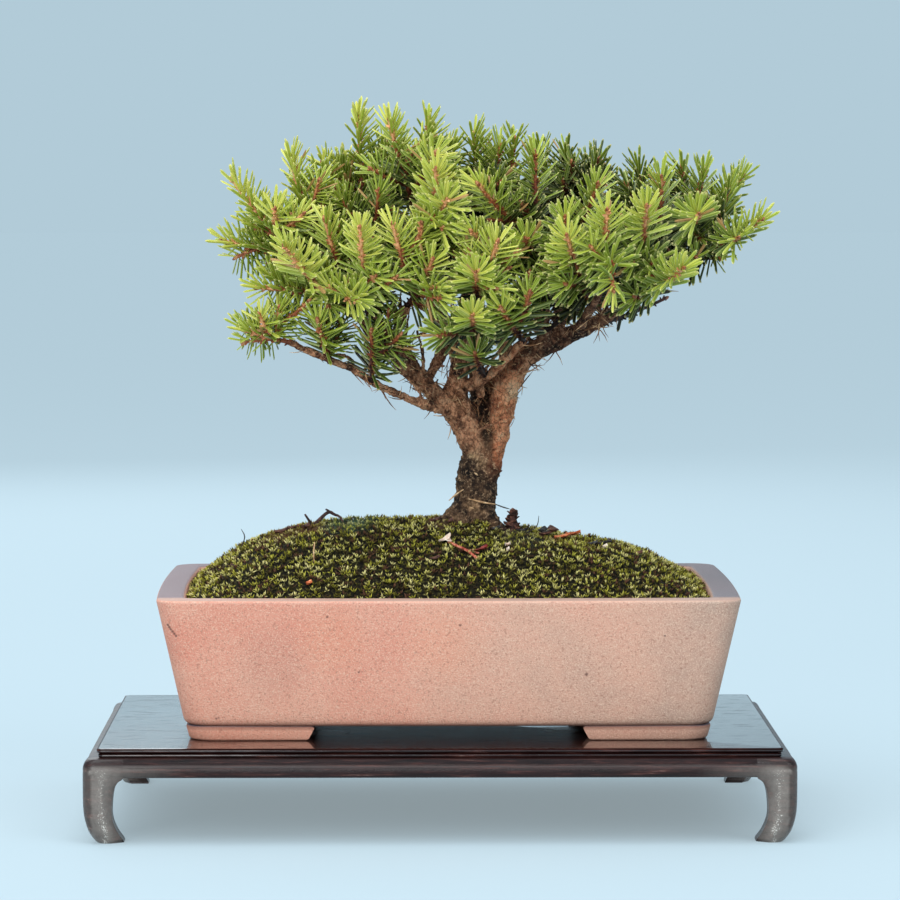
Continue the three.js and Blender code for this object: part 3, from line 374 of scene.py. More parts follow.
RAIL_BOTTOM = 18.4
RAIL_SWELL = 1.73
RAIL_BULGE = 1.1
RAIL_ROUND = 0.97
RAIL_TUCK = 0.76
RAIL_LIP = 1.25
RAIL_LIP_RISE = 0.3
RAIL_STEPS = 8
RAIL_WEAR_AND_SHEEN_FROM = 20
RAIL_WEAR_AND_SHEEN = 0.36
WEAR_AND_SHEEN_TOP = 22.2
WEAR_AND_SHEEN_FADE = 1.6


def rail_inset(z):
    """How far in from its fullest line the apron's face lies at a height; both are in millimetres."""
    place = (z - RAIL_BOTTOM) / RAIL_SWELL - 1
    if abs(place) < RAIL_ROUND:
        return RAIL_BULGE * (1 - math.sqrt(1 - place * place))
    return RAIL_LIP if place > 0 else RAIL_BULGE * RAIL_TUCK


def reached(rise):
    """How much scuffed grey and painted highlight a height takes: fading out close under the slab."""
    return min(1, max(0, (WEAR_AND_SHEEN_TOP - rise) / WEAR_AND_SHEEN_FADE))


for side, turn in (("front", 0), ("right", 90), ("back", 180), ("left", 270)):
    rail_low, rail_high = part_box("stand_rail_" + side)
    along_x = turn % 180 == 0
    half_length = rail_high.x if along_x else rail_high.y
    faces = (abs(rail_low.y), abs(rail_high.y)) if along_x else (abs(rail_low.x), abs(rail_high.x))
    inner_face, outer_face = min(faces), max(faces)
    profile = [(inner_face, rail_low.z)]
    for angle in swept(-75, 150, RAIL_STEPS):
        z = RAIL_BOTTOM + RAIL_SWELL * (1 + math.sin(angle))
        profile.append((outer_face - rail_inset(z) * MM, z * MM))
    lip_face = outer_face - RAIL_LIP * MM
    profile += [(lip_face, (z + RAIL_LIP_RISE) * MM), (lip_face, rail_high.z), (inner_face, rail_high.z)]
    spin = Matrix.Rotation(math.radians(turn), 3, "Z")
    wear_and_sheen_end = half_length - RAIL_WEAR_AND_SHEEN_FROM * MM
    wear_and_sheen_mid = half_length - 0.4 * RAIL_WEAR_AND_SHEEN_FROM * MM
    stops = (-half_length, -wear_and_sheen_mid, -wear_and_sheen_end, wear_and_sheen_end, wear_and_sheen_mid, half_length)
    rings = [[spin @ Vector((x, -out, z)) for out, z in profile] for x in stops]
    apron = loft("stand_apron_" + side, rings, 50)
    # The aprons take scuffed grey with painted highlight and glints beside the legs, fading out along the
    # rail and under the slab.
    wear_and_sheen = []
    for point in apron.vertices:
        along = abs(point.co.x) if along_x else abs(point.co.y)
        fade = max(0, (along - half_length) / MM + RAIL_WEAR_AND_SHEEN_FROM) / RAIL_WEAR_AND_SHEEN_FROM
        wear_and_sheen.append(RAIL_WEAR_AND_SHEEN * fade * reached(point.co.z / MM))
    mark(apron, "wear_and_sheen", wear_and_sheen)
    finish = lacquer if along_x else lacquer_turned
    piece("stand_apron_" + side, apron, finish, "lacquered_wood", "stand_rail_" + side)

LEG_SHAPE = [
    (0, 3.8, 11.0),
    (0.8, 3.0, 10.8),
    (3.3, 1.5, 9.3),
    (6.7, 0.5, 8.1),
    (10, 0.1, 7.9),
    (14.5, 0, 8.4),
    (17, 0, 9.6),
    (18.4, 0, 11.2),
    (21, 0.1, 11.2),
    (22.6, 0.7, 11.2),
    (23.5, 1.7, 11.2),
]
LEG_WIDEST = 11.2
LEG_LEVELS = 44
LEG_ROUND = 2.8
LEG_ARRIS = 5.4
LEG_CHAMFER = 2.2
LEG_BLEND = 3
LEG_CORNER_STEPS = 6
SHOULDER_START = 20.4
SHOULDER_RISE = 3.2
SHOULDER_IN = 2
SHOULDER_HIGHLIGHT = 20.1
SHOULDER_FROM = 2
SHOULDER_TO = 8
FACE_DEPTH = 5.2
FACE_WIDTH = 7.4
FACE_WEAR_AND_SHEEN = 0.62
INNER_WEAR_AND_SHEEN = 0.1
HIGHLIGHT_LINE = 6.1
HIGHLIGHT_SPREAD = 3.5
CORNER_WIDTH = 2.4
CORNER_WEAR_AND_SHEEN = 0.45


def along_curve(rows, t):
    """A point on the smooth curve through rows of numbers, t from 0 to 1."""
    place = t * (len(rows) - 1)
    k = min(int(place), len(rows) - 2)
    u = place - k
    p0, p1, p2, p3 = rows[max(k - 1, 0)], rows[k], rows[k + 1], rows[min(k + 2, len(rows) - 1)]
    return tuple(
        0.5 * (2 * b + (c - a) * u + (2 * a - 5 * b + 4 * c - d) * u * u + (3 * b - a - 3 * c + d) * u ** 3)
        for a, b, c, d in zip(p0, p1, p2, p3)
    )


def leg_ring(level):
    """The leg's outline at a level: a round outer corner, two flat faces and two chamfered inner sides."""
    z, inset, width = along_curve(LEG_SHAPE, level)
    inset, width = max(inset, 0), min(width, LEG_WIDEST)
    arris = min(LEG_ARRIS + inset * 0.6, width - 0.6)
    back = min(LEG_CHAMFER, width - arris)
    if z > SHOULDER_START:
        inset = SHOULDER_IN * (1 - math.sqrt(1 - ((z - SHOULDER_START) / SHOULDER_RISE) ** 2))
        back = rail_inset(z) - inset
    elif z > RAIL_BOTTOM - LEG_BLEND:
        joined = min(1, (z - RAIL_BOTTOM + LEG_BLEND) / LEG_BLEND)
        back += (rail_inset(max(z, RAIL_BOTTOM)) - inset - back) * joined
    side = [(-arris, -inset), (-width, -inset - back), (-width, -width)]
    side += [(y, x) for x, y in reversed(side[:2])]
    centre = -inset - LEG_ROUND
    for i in range(LEG_CORNER_STEPS + 1):
        angle = math.pi / 2 * i / LEG_CORNER_STEPS
        side.append((centre + LEG_ROUND * math.cos(angle), centre + LEG_ROUND * math.sin(angle)))
    return [Vector((x * MM, y * MM, z * MM)) for x, y in side]


def leg_wear_and_sheen(point, corner):
    """How far a point of a leg is scuffed grey with painted highlight: most on its outer faces, with a
    painted highlight line along the arris and a painted highlight band at the shoulder.
    """
    across = [abs(point.x - corner.x) / MM, abs(point.y - corner.y) / MM]
    depth, width = min(across), max(across)
    worn_and_sheen = INNER_WEAR_AND_SHEEN
    if depth < FACE_DEPTH:
        least = FACE_WEAR_AND_SHEEN if width < FACE_WIDTH else RAIL_WEAR_AND_SHEEN
        worn_and_sheen = max(least, 1 - abs(width - HIGHLIGHT_LINE) / HIGHLIGHT_SPREAD)
    if width < CORNER_WIDTH:
        worn_and_sheen *= CORNER_WEAR_AND_SHEEN
    if SHOULDER_FROM < width < SHOULDER_TO:
        worn_and_sheen = max(worn_and_sheen, 1 - abs(point.z / MM - SHOULDER_HIGHLIGHT))
    return worn_and_sheen * reached(point.z / MM)


for name, sx, sy in (
    ("front_left", -1, -1), ("front_right", 1, -1), ("back_left", -1, 1), ("back_right", 1, 1),
):
    leg_low, leg_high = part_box("stand_leg_" + name)
    corner = Vector((leg_high.x if sx > 0 else leg_low.x, leg_high.y if sy > 0 else leg_low.y, 0))
    rings = [leg_ring(i / LEG_LEVELS) for i in range(LEG_LEVELS + 1)]
    placed = [[corner + Vector((sx * p.x, sy * p.y, p.z)) for p in ring] for ring in rings]
    leg = loft("leg_" + name, placed, 32)
    mark(leg, "wear_and_sheen", [leg_wear_and_sheen(point.co, corner) for point in leg.vertices])
    piece("leg_" + name, leg, lacquer, "lacquered_wood", "stand_leg_" + name)


# Pot: a shallow rectangular pot of unglazed, sandy clay with a broad flat rim, slanted walls and four
# corner feet. It was pressed and joined by hand, then fired to salmon with greyer, cooler patches.
pot_low, pot_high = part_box("pot")
POT_CENTRE = ((pot_low.x + pot_high.x) / 2, (pot_low.y + pot_high.y) / 2)
RIM_X = (pot_high.x - pot_low.x) / 2
RIM_Y = (pot_high.y - pot_low.y) / 2
RIM_BAND = 7.7 * MM
RIM_EASE = 0.9 * MM
POT_CORNER = 6.5 * MM
POT_CORNER_STEPS = 14
POT_SIDE_STEPS = 40
INNER_CORNER = POT_CORNER - 3 * MM
SIDE_BOW = 1 * MM
BODY_BOTTOM = 30.1 * MM
BODY_TAPER = 7 * MM
FLOOR_TOP = 35 * MM
INNER_TAPER = 5.2 * MM
FOOT_LENGTH_X = 36 * MM
FOOT_LENGTH_Y = 27 * MM
FOOT_WIDTH = 9 * MM
FOOT_INSET = BODY_TAPER + 1.7 * MM
FOOT_CORNER = 7 * MM
FOOT_STEPS = 10
DRAIN_RADIUS = 8 * MM
DRAIN_OFFSET = 36 * MM
CUT_PAST = 2 * MM
WALL_LEVELS = 22
CLAY_MARKS = [
    ((-46, -51, 48), 13, 0.22, (160, 116, 102)),
    ((-72, -51, 54), 9, 0.4, (206, 106, 84)),
    ((-30, -51, 55), 12, 0.35, (214, 130, 100)),
    ((2, -52, 54), 14, 0.3, (216, 140, 110)),
]
CLAY_PITS = [
    (-61.9, 32.5, 0.5), (-61.2, 32.7, 0.4), (40.5, 45.1, 0.6), (5.5, 59.1, 0.5),
    (-31, 61.5, 0.5), (-22.4, 45.8, 0.4), (62, 56, 0.4),
]
CLAY_SCRATCH = [(-75.0, 59.0), (-74.6, 58.4), (-74.2, 57.8), (-73.7, 57.2), (-73.2, 56.6), (-72.7, 56.0)]
CLAY_FRONT = -50


def pot_ring(inset, z, corner=POT_CORNER):
    """The pot's outline at a height, an inset in from its rim."""
    steps = (POT_CORNER_STEPS, POT_SIDE_STEPS)
    return outline(RIM_X - inset, RIM_Y - inset, corner, z, *steps, SIDE_BOW, POT_CENTRE)


def rounded(start, middle, end, steps=6):
    """Points of an eased edge from start to end past a middle point, each an inset and a height."""
    points = []
    for i in range(steps + 1):
        t = i / steps
        points.append(tuple(
            (1 - t) ** 2 * a + 2 * t * (1 - t) * b + t * t * c for a, b, c in zip(start, middle, end)
        ))
    return points


def clay_blank(name, rings):
    """A clay part that is still to be joined or cut."""
    return put(name, loft(name, rings))


def settle(thing):
    """Turns an object's modifiers into a plain mesh of its own."""
    bpy.context.view_layer.update()
    evaluated = thing.evaluated_get(bpy.context.evaluated_depsgraph_get())
    mesh = bpy.data.meshes.new_from_object(evaluated)
    thing.modifiers.clear()
    thing.data = mesh
    return mesh


def work_clay(thing, tool, operation):
    """Joins another blank to this one or cuts it away, and uses it up."""
    modifier = thing.modifiers.new(operation, "BOOLEAN")
    modifier.operation = operation
    modifier.solver = "EXACT"
    modifier.object = tool
    settle(thing)
    bpy.data.objects.remove(tool)


def foot_ring(inset, z, sx, sy):
    """A foot's outline: an L round the corner whose ends slant in towards the ground."""
    outer_x, outer_y = RIM_X - FOOT_INSET - inset, RIM_Y - FOOT_INSET - inset
    end_x = RIM_X - FOOT_INSET - FOOT_LENGTH_X + inset * 2
    end_y = RIM_Y - FOOT_INSET - FOOT_LENGTH_Y + inset * 2
    inner_x, inner_y = outer_x - FOOT_WIDTH + inset, outer_y - FOOT_WIDTH + inset
    ring = [(end_x, inner_y), (inner_x, inner_y), (inner_x, end_y), (outer_x, end_y)]
    for i in range(FOOT_STEPS + 1):
        angle = math.pi / 2 * i / FOOT_STEPS
        x = outer_x - FOOT_CORNER * (1 - math.cos(angle))
        ring.append((x, outer_y - FOOT_CORNER * (1 - math.sin(angle))))
    ring.append((end_x, outer_y))
    return [Vector((POT_CENTRE[0] + sx * x, POT_CENTRE[1] + sy * y, z)) for x, y in ring]


wall_foot = (BODY_TAPER, BODY_BOTTOM + 2.2 * MM)
wall_head = (0.1 * MM, pot_high.z - RIM_EASE)
outside = rounded((BODY_TAPER + 3 * MM, BODY_BOTTOM), (BODY_TAPER + 0.5 * MM, BODY_BOTTOM), wall_foot)
for i in range(1, WALL_LEVELS):
    outside.append(tuple(a + (b - a) * i / WALL_LEVELS for a, b in zip(wall_foot, wall_head)))
outside += rounded(wall_head, (-0.1 * MM, pot_high.z), (1.0 * MM, pot_high.z))
inner_round = rounded(
    (RIM_BAND - RIM_EASE, pot_high.z),
    (RIM_BAND - 0.1 * MM, pot_high.z),
    (RIM_BAND + 0.1 * MM, pot_high.z - RIM_EASE),
)
pot_blank = clay_blank("pot_blank", [pot_ring(inset, z) for inset, z in outside])
hollow_levels = [(RIM_BAND + INNER_TAPER, FLOOR_TOP)] + list(reversed(inner_round))
hollow_levels.append((RIM_BAND - RIM_EASE, pot_high.z + CUT_PAST))
hollow_rings = [pot_ring(inset, z, INNER_CORNER) for inset, z in hollow_levels]
work_clay(pot_blank, clay_blank("pot_hollow", hollow_rings), "DIFFERENCE")
for offset in (-DRAIN_OFFSET, DRAIN_OFFSET):
    drain_centre = (POT_CENTRE[0] + offset, POT_CENTRE[1])
    drain_rings = [
        outline(DRAIN_RADIUS, DRAIN_RADIUS, DRAIN_RADIUS - 0.001 * MM, z, 12, 1, 0, drain_centre)
        for z in (BODY_BOTTOM - CUT_PAST, FLOOR_TOP + CUT_PAST)
    ]
    work_clay(pot_blank, clay_blank("drain_cutter", drain_rings), "DIFFERENCE")
foot_levels = rounded((1.9 * MM, pot_low.z), (1.2 * MM, pot_low.z), (0.8 * MM, pot_low.z + 0.7 * MM), 4)
foot_levels += rounded(
    (0.1 * MM, BODY_BOTTOM - 0.7 * MM),
    (0, BODY_BOTTOM - 0.1 * MM),
    (0.7 * MM, BODY_BOTTOM + 0.15 * MM),
    4,
)
for sx, sy in ((1, 1), (-1, 1), (-1, -1), (1, -1)):
    rings = [foot_ring(inset, z, sx, sy) for inset, z in foot_levels]
    work_clay(pot_blank, clay_blank("foot", rings), "UNION")


def near(tree, place, centre, radius, strength, stretch=(1, 1, 1)):
    """A soft mask round a place on the piece; the place and radius are in millimetres."""
    drawn_out = grow(tree, "ShaderNodeVectorMath", {0: place, 1: stretch}, operation="MULTIPLY")
    middle = tuple(c * s * MM for c, s in zip(centre, stretch))
    away = grow(tree, "ShaderNodeVectorMath", {0: drawn_out, 1: middle}, operation="DISTANCE").outputs[1]
    return span(tree, away, radius * 0.4 * MM, radius * MM, strength, 0)


clay, tree = new_finish("unglazed clay", 0.78, 0.35)
place = object_place(tree)
axes = grow(tree, "ShaderNodeSeparateXYZ", {0: place}).outputs
patches = span(tree, speckle(tree, place, 21, 5, 0.6), 0.25, 0.75, 0.34, 0.66)
greying = span(tree, axes[0], -0.03, 0.09, -0.12, 0.2)
colour = ramp(
    tree, reckon(tree, "ADD", patches, greying),
    (0.26, 210, 130, 108), (0.42, 217, 152, 129), (0.58, 205, 155, 133), (0.75, 176, 144, 127),
)
for centre, radius, strength, tint in CLAY_MARKS:
    colour = lay(tree, near(tree, place, centre, radius, strength, (1, 0.3, 1)), colour, tint)
sand = speckle(tree, place, 2900, 1.5, 0.6)
colour = lay(tree, ramp(tree, sand, (0.48, 0), (0.68, 0.5)), colour, (236, 204, 178))
specks = ramp(tree, speckle(tree, place, 1700, 1), (0.3, 0.45), (0.42, 0))
colour = lay(tree, specks, colour, (146, 92, 74))
for x, z, radius in CLAY_PITS + [(x, z, 0.5) for x, z in CLAY_SCRATCH]:
    pit = near(tree, place, (x, CLAY_FRONT, z), radius, 0.8, (1, 0.05, 1))
    colour = lay(tree, pit, colour, (92, 60, 52))
# Painted highlight: a pale line along the rim's rounded top edge, where it catches the light.
rim_edge_highlight = span(tree, axes[2], 0.0648, 0.0653, 0, 0.12)
feet = span(tree, axes[2], 0.0306, 0.0298, 0, 0.25)
# Painted shade: a dark line where the body's rounded bottom edge overhangs the feet.
shadow_gap_low = span(tree, axes[2], 0.0288, 0.0298, 0, 0.75)
shadow_gap_high = span(tree, axes[2], 0.0302, 0.0312, 1, 0)
colour = lay(tree, rim_edge_highlight, colour, (226, 196, 180))
colour = lay(tree, feet, colour, (222, 146, 118))
colour = lay(tree, reckon(tree, "MULTIPLY", shadow_gap_low, shadow_gap_high), colour, (120, 76, 62))
upward = facing_up(tree)
# Painted reflection: the rim's upward faces are painted grey-mauve for the sky they reflect, except along
# the front, where they keep a pale clay colour.
front_rim = span(tree, axes[1], -0.047, -0.043, 0.85, 0)
rim_painted_sky = lay(tree, front_rim, (80, 84, 99), (184, 146, 128))
colour = lay(tree, span(tree, upward, 0.55, 0.95, 0, 0.8), colour, rim_painted_sky)
coat(tree, colour, reckon(tree, "ADD", sand, speckle(tree, place, 2400)), 0.5, 0.00035)
shade(tree, {"Roughness": span(tree, upward, 0.55, 0.95, 0.8, 0.55)})

pot_mesh = pot_blank.data
bpy.data.objects.remove(pot_blank)
pot_mesh.materials.clear()
face_out(pot_mesh, 38)
piece("clay_pot", pot_mesh, clay, "unglazed_clay", "pot")


# Drain screens and soil: black plastic nets over the pot's two holes, and a dark, damp mix of fired clay
# grains that fills the pot. The moss hides nearly all of it.
screen_finish, tree = new_finish("screen plastic", 0.55)
coat(tree, ramp(tree, speckle(tree, object_place(tree), 700, 3), (0.35, 22, 24, 27), (0.7, 52, 55, 58)))
for side in ("left", "right"):
    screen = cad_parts["drain_mesh_" + side]
    screen.data.materials.clear()
    screen.data.materials.append(screen_finish)

soil_finish, tree = new_finish("damp soil", 0.95, 0.2)
grains = grow(tree, "ShaderNodeTexVoronoi", {0: object_place(tree), "Scale": 520}).outputs
grain_colour = ramp(tree, grains["Distance"], (0.0, 96, 70, 50), (0.6, 28, 20, 16))
soil_colour = lay(tree, 0.35, grain_colour, grains["Color"], "SOFT_LIGHT")
coat(tree, soil_colour, grains["Distance"], 0.8, 0.0006, invert=True)


# Moss: a carpet of small upright plants over the mound. Under them is a lumpy felt of old growth, painted
# near-black as the shade between the plants, and each plant is a star of pointed leaves, scattered by a rule
# that keeps neighbours apart. Each leaf darkens to the felt's colour at its base: painted shade.
SOIL_EDGE = 62
MOUND_HEIGHT = 20
MOUND_PEAK = (-12, 4)
MOUND_FALL = {"left": 3, "right": 3.5, "deep": 2.1}
MOUND_MIDDLE = Vector((POT_CENTRE[0], POT_CENTRE[1], 0))
MOSS_DEPTH = 1.3
MOSS_DIP = 2.8
SOIL_UNDER = 1.6
SOIL_RINGS = 24
FELT_RINGS = 48
FELT_SIDE_STEPS = 46
PLANT_LEAVES = 6
LEAF_WIDTH = 0.42 * MM
LOW_LEAF = (1.55 * MM, 38)
HIGH_LEAF = (1.35 * MM, 68)
PLANT_SLOPE = 0.3
PLANT_TILT = 0.5
PLANTS_AT_MOST = 900000.0
MOSS_TINTS = [
    ((-26, 0, 83), 10, 0.65, (70, 112, 92)),
    ((-45, 1, 81), 8, 0.65, (124, 84, 64)),
    ((-37, -2, 82), 6, 0.7, (120, 78, 58)),
    ((0, -3, 83), 6, 0.7, (120, 84, 66)),
    ((33, -6, 80), 5, 0.85, (96, 62, 46)),
    ((24, -8, 80), 9, 0.5, (70, 74, 70)),
]


def mound_height(x, y):
    """The soil's height in millimetres over its edge, at a place in plan in millimetres."""
    half_x, half_y = (RIM_X - RIM_BAND) / MM, (RIM_Y - RIM_BAND) / MM
    middle_x, middle_y = POT_CENTRE[0] / MM, POT_CENTRE[1] / MM
    peak_x, peak_y = (MOUND_PEAK[0] - middle_x) / half_x, (MOUND_PEAK[1] - middle_y) / half_y
    u, v = (x - middle_x) / half_x - peak_x, (y - middle_y) / half_y - peak_y
    reach_x = 1 + peak_x if u < 0 else 1 - peak_x
    reach_y = 1 + peak_y if v < 0 else 1 - peak_y
    fall = MOUND_FALL["left"] if u < 0 else MOUND_FALL["right"]
    across = max(0, 1 - abs(u / reach_x) ** fall)
    deep = max(0, 1 - abs(v / reach_y) ** MOUND_FALL["deep"])
    return MOUND_HEIGHT * across * deep


def ease(t):
    """A smooth step from 0 to 1."""
    t = min(1, max(0, t))
    return t * t * (3 - 2 * t)


def moss_height(x, y):
    """The felt's height in millimetres: the mound with a dip by the trunk, swells and small cushions."""
    dip = MOSS_DIP * ease((x - 13) / 5) * ease((60 - x) / 18) * math.exp(-((y - 3) / 20) ** 2)
    swell = 0.6 * math.sin(x / 6.5 + 1.3 * math.sin(y / 8)) * math.sin(y / 5.5 + x / 14)
    cushions = noise.noise(Vector((x / 3.1, y / 3.1, 3)))
    cushions += 0.7 * noise.noise(Vector((x / 1.3, y / 1.3, 9)))
    return SOIL_EDGE + mound_height(x, y) - dip + MOSS_DEPTH + swell + cushions


def over_mound(rim, share, sunk=0.0):
    """A ring that follows the felt, drawn in from a rim to a share of it, and sunk by millimetres."""
    ring = []
    for p in rim:
        q = MOUND_MIDDLE.lerp(Vector((p.x, p.y, 0)), share)
        ring.append(Vector((q.x, q.y, (moss_height(q.x / MM, q.y / MM) - sunk) * MM)))
    return ring


felt_x, felt_y = RIM_X - RIM_BAND - RIM_EASE, RIM_Y - RIM_BAND - RIM_EASE
felt_rim = outline(felt_x, felt_y, INNER_CORNER, 0, 6, FELT_SIDE_STEPS, SIDE_BOW, POT_CENTRE)
felt_rings = [[Vector((p.x, p.y, (SOIL_EDGE + 0.4) * MM)) for p in felt_rim]]
felt_rings += [over_mound(felt_rim, 1 - k / FELT_RINGS) for k in range(FELT_RINGS)]
soil_edge = pot_ring(RIM_BAND + 0.4 * MM, SOIL_EDGE * MM, INNER_CORNER)
soil_rings = [pot_ring(RIM_BAND + INNER_TAPER + 0.1 * MM, FLOOR_TOP + 0.1 * MM, INNER_CORNER), soil_edge]
soil_rings += [over_mound(soil_edge, 1 - k / SOIL_RINGS, SOIL_UNDER) for k in range(1, SOIL_RINGS)]
piece("soil_bed", loft("soil_bed", soil_rings, 180), soil_finish, "soil", "soil")
felt = put("moss_felt", loft("moss_felt", felt_rings, 180))


def blade(length, width, lift):
    """A pointed, keeled leaf that leaves the middle at a lift: points and faces, in metres."""
    along = Vector((math.cos(lift), 0, math.sin(lift)))
    upward = Vector((-math.sin(lift), 0, math.cos(lift)))
    middle, tip = along * length * 0.42, along * length + upward * length * 0.14
    side, keel = Vector((0, width / 2, 0)), upward * width * 0.3
    points = [Vector((0, 0, 0)), middle + side + keel, middle - side + keel, tip]
    return points, [(0, 1, 3), (0, 3, 2), (0, 2, 1), (1, 2, 3)]


def form(name, parts, marks):
    """A small shape for scattering, made of placed parts; marks are its named values, one for each point."""
    points, faces = [], []
    for part_points, part_faces in parts:
        start = len(points)
        points += [tuple(p) for p in part_points]
        faces += [tuple(start + i for i in face) for face in part_faces]
    mesh = bpy.data.meshes.new(name)
    mesh.from_pydata(points, [], faces)
    for label, values in marks.items():
        mark(mesh, label, values)
    return put(name, mesh)


plant_dice = random.Random(5)
plant_parts, plant_reach = [], []
for i in range(PLANT_LEAVES):
    length, lift = HIGH_LEAF if i % 2 else LOW_LEAF
    leaf_points, leaf_faces = blade(length, LEAF_WIDTH, math.radians(lift))
    spin = Matrix.Rotation(2 * math.pi * i / PLANT_LEAVES + plant_dice.uniform(-0.3, 0.3), 3, "Z")
    plant_parts.append(([spin @ p for p in leaf_points], leaf_faces))
    plant_reach += [0, 0.45, 0.45, 1]
plant = form("moss_plant", plant_parts, {"reach": plant_reach})


def scatter_tree(name, labels):
    """An empty geometry tree with named inputs; each label gives its kind and its usual value."""
    tree = bpy.data.node_groups.new(name, "GeometryNodeTree")
    tree.interface.new_socket("Geometry", in_out="INPUT", socket_type="NodeSocketGeometry")
    for label, (kind, value) in labels.items():
        socket = tree.interface.new_socket(label, in_out="INPUT", socket_type="NodeSocket" + kind)
        if value is not None:
            socket.default_value = value
    tree.interface.new_socket("Geometry", in_out="OUTPUT", socket_type="NodeSocketGeometry")
    return tree, tree.nodes.new("NodeGroupInput").outputs, tree.nodes.new("NodeGroupOutput")


def run_tree(thing, tree, **values):
    """Runs a geometry tree on an object, with its inputs set, and keeps the result as a plain mesh."""
    modifier = thing.modifiers.new(tree.name, "NODES")
    modifier.node_group = tree
    for item in tree.interface.items_tree:
        key = item.name.lower().replace(" ", "_")
        if item.in_out == "INPUT" and key in values:
            modifier[item.identifier] = values[key]
    mesh = settle(thing)
    bpy.data.objects.remove(thing)
    return mesh


def scattered(tree, mesh, chosen, spacing, most, seed, share=1.0):
    """Points that keep their spacing on the chosen part of a mesh, at most so many to the square metre."""
    return grow(tree, "GeometryNodeDistributePointsOnFaces", {
        "Mesh": mesh,
        "Selection": chosen,
        "Distance Min": spacing,
        "Density Max": most,
        "Density Factor": share,
        "Seed": seed,
    }, distribute_method="POISSON").outputs


def dealt(tree, low, high, seed):
    """A chance value between two others, for each point."""
    return grow(tree, "FunctionNodeRandomValue", {2: low, 3: high, "Seed": seed}).outputs[1]


def turned(tree, rotation, angles):
    """A rotation turned further by angles about its own axes."""
    more = grow(tree, "FunctionNodeEulerToRotation", {0: angles})
    return grow(tree, "FunctionNodeRotateRotation", {0: rotation, 1: more}, rotation_space="LOCAL")


def planted(tree, thing, points, rotation, scale):
    """An object set on each point, turned and scaled."""
    shape = grow(tree, "GeometryNodeObjectInfo", {"Object": thing}).outputs["Geometry"]
    feeds = {"Points": points, "Instance": shape, "Rotation": rotation, "Scale": scale}
    return grow(tree, "GeometryNodeInstanceOnPoints", feeds)


def real(tree, shape):
    """A shape whose repeats are made real."""
    return grow(tree, "GeometryNodeRealizeInstances", {0: shape})


def joined(tree, *shapes):
    """Several shapes as one."""
    whole = tree.nodes.new("GeometryNodeJoinGeometry")
    for shape in shapes:
        feed(tree, whole.inputs[0], shape)
    return whole


def stamped(tree, shapes, name, value):
    """Instances that each carry a named value."""
    feeds = {"Geometry": shapes, "Name": name, "Value": value}
    return grow(tree, "GeometryNodeStoreNamedAttribute", feeds, data_type="FLOAT", domain="INSTANCE")


def clad(tree, shape, finish):
    """A shape with its finish."""
    return grow(tree, "GeometryNodeSetMaterial", {"Geometry": shape, "Material": finish})


moss_finish, tree = new_finish("moss", 0.8, 0.1)
place = object_place(tree)
damp = speckle(tree, place, 120, 5, 0.65)
mood = reckon(tree, "MULTIPLY", reckon(tree, "ADD", marked(tree, "chance"), damp), 0.5)
young = ramp(
    tree, mood,
    (0.27, 116, 78, 60), (0.36, 70, 58, 34), (0.46, 122, 114, 40), (0.57, 196, 188, 72),
    (0.74, 246, 232, 158),
)
# The felt's colour, also at the leaves' bases: a little old growth, mostly painted shade deep in the carpet.
old = ramp(
    tree, speckle(tree, place, 1400, 3, 0.7),
    (0.38, 6, 5, 3), (0.52, 22, 18, 10), (0.62, 52, 48, 24), (0.74, 96, 92, 46),
)
# Painted shade: each leaf runs from that dark colour at its base to its own colour at its tip.
colour = lay(tree, span(tree, marked(tree, "reach"), 0.1, 0.85), old, young)
for centre, radius, strength, tint in MOSS_TINTS:
    patch = near(tree, place, centre, radius, strength, (1, 0.6, 1))
    colour = lay(tree, reckon(tree, "MULTIPLY", patch, damp), colour, tint)
coat(tree, colour)

tree, given, result = scatter_tree("scatter moss", {
    "Plant": ("Object", None),
    "Spacing": ("Float", 0.99 * MM),
    "Smallest": ("Float", 0.6),
    "Largest": ("Float", 1.25),
    "Seed": ("Int", 3),
    "Finish": ("Material", None),
})
upward = grow(tree, "ShaderNodeSeparateXYZ", {0: grow(tree, "GeometryNodeInputNormal")}).outputs[2]
on_top = grow(tree, "FunctionNodeCompare", {0: upward, 1: PLANT_SLOPE}, operation="GREATER_THAN")
points = scattered(tree, given["Geometry"], on_top, given["Spacing"], PLANTS_AT_MOST, given["Seed"])
spin = dealt(tree, 0.0, 2 * math.pi, given["Seed"])
tilt = dealt(tree, -PLANT_TILT, PLANT_TILT, 21)
angles = turned(tree, points["Rotation"], grow(tree, "ShaderNodeCombineXYZ", {0: tilt, 2: spin}))
size = dealt(tree, given["Smallest"], given["Largest"], 8)
plants = planted(tree, given["Plant"], points["Points"], angles, size)
plants = stamped(tree, plants, "chance", dealt(tree, 0.0, 1.0, 4))
carpet = joined(tree, real(tree, plants), given["Geometry"])
feed(tree, result.inputs[0], clad(tree, carpet, given["Finish"]))

moss_mesh = run_tree(felt, tree, plant=plant, finish=moss_finish)
bpy.data.objects.remove(plant)
piece("moss_carpet", moss_mesh, moss_finish, "moss", "moss")


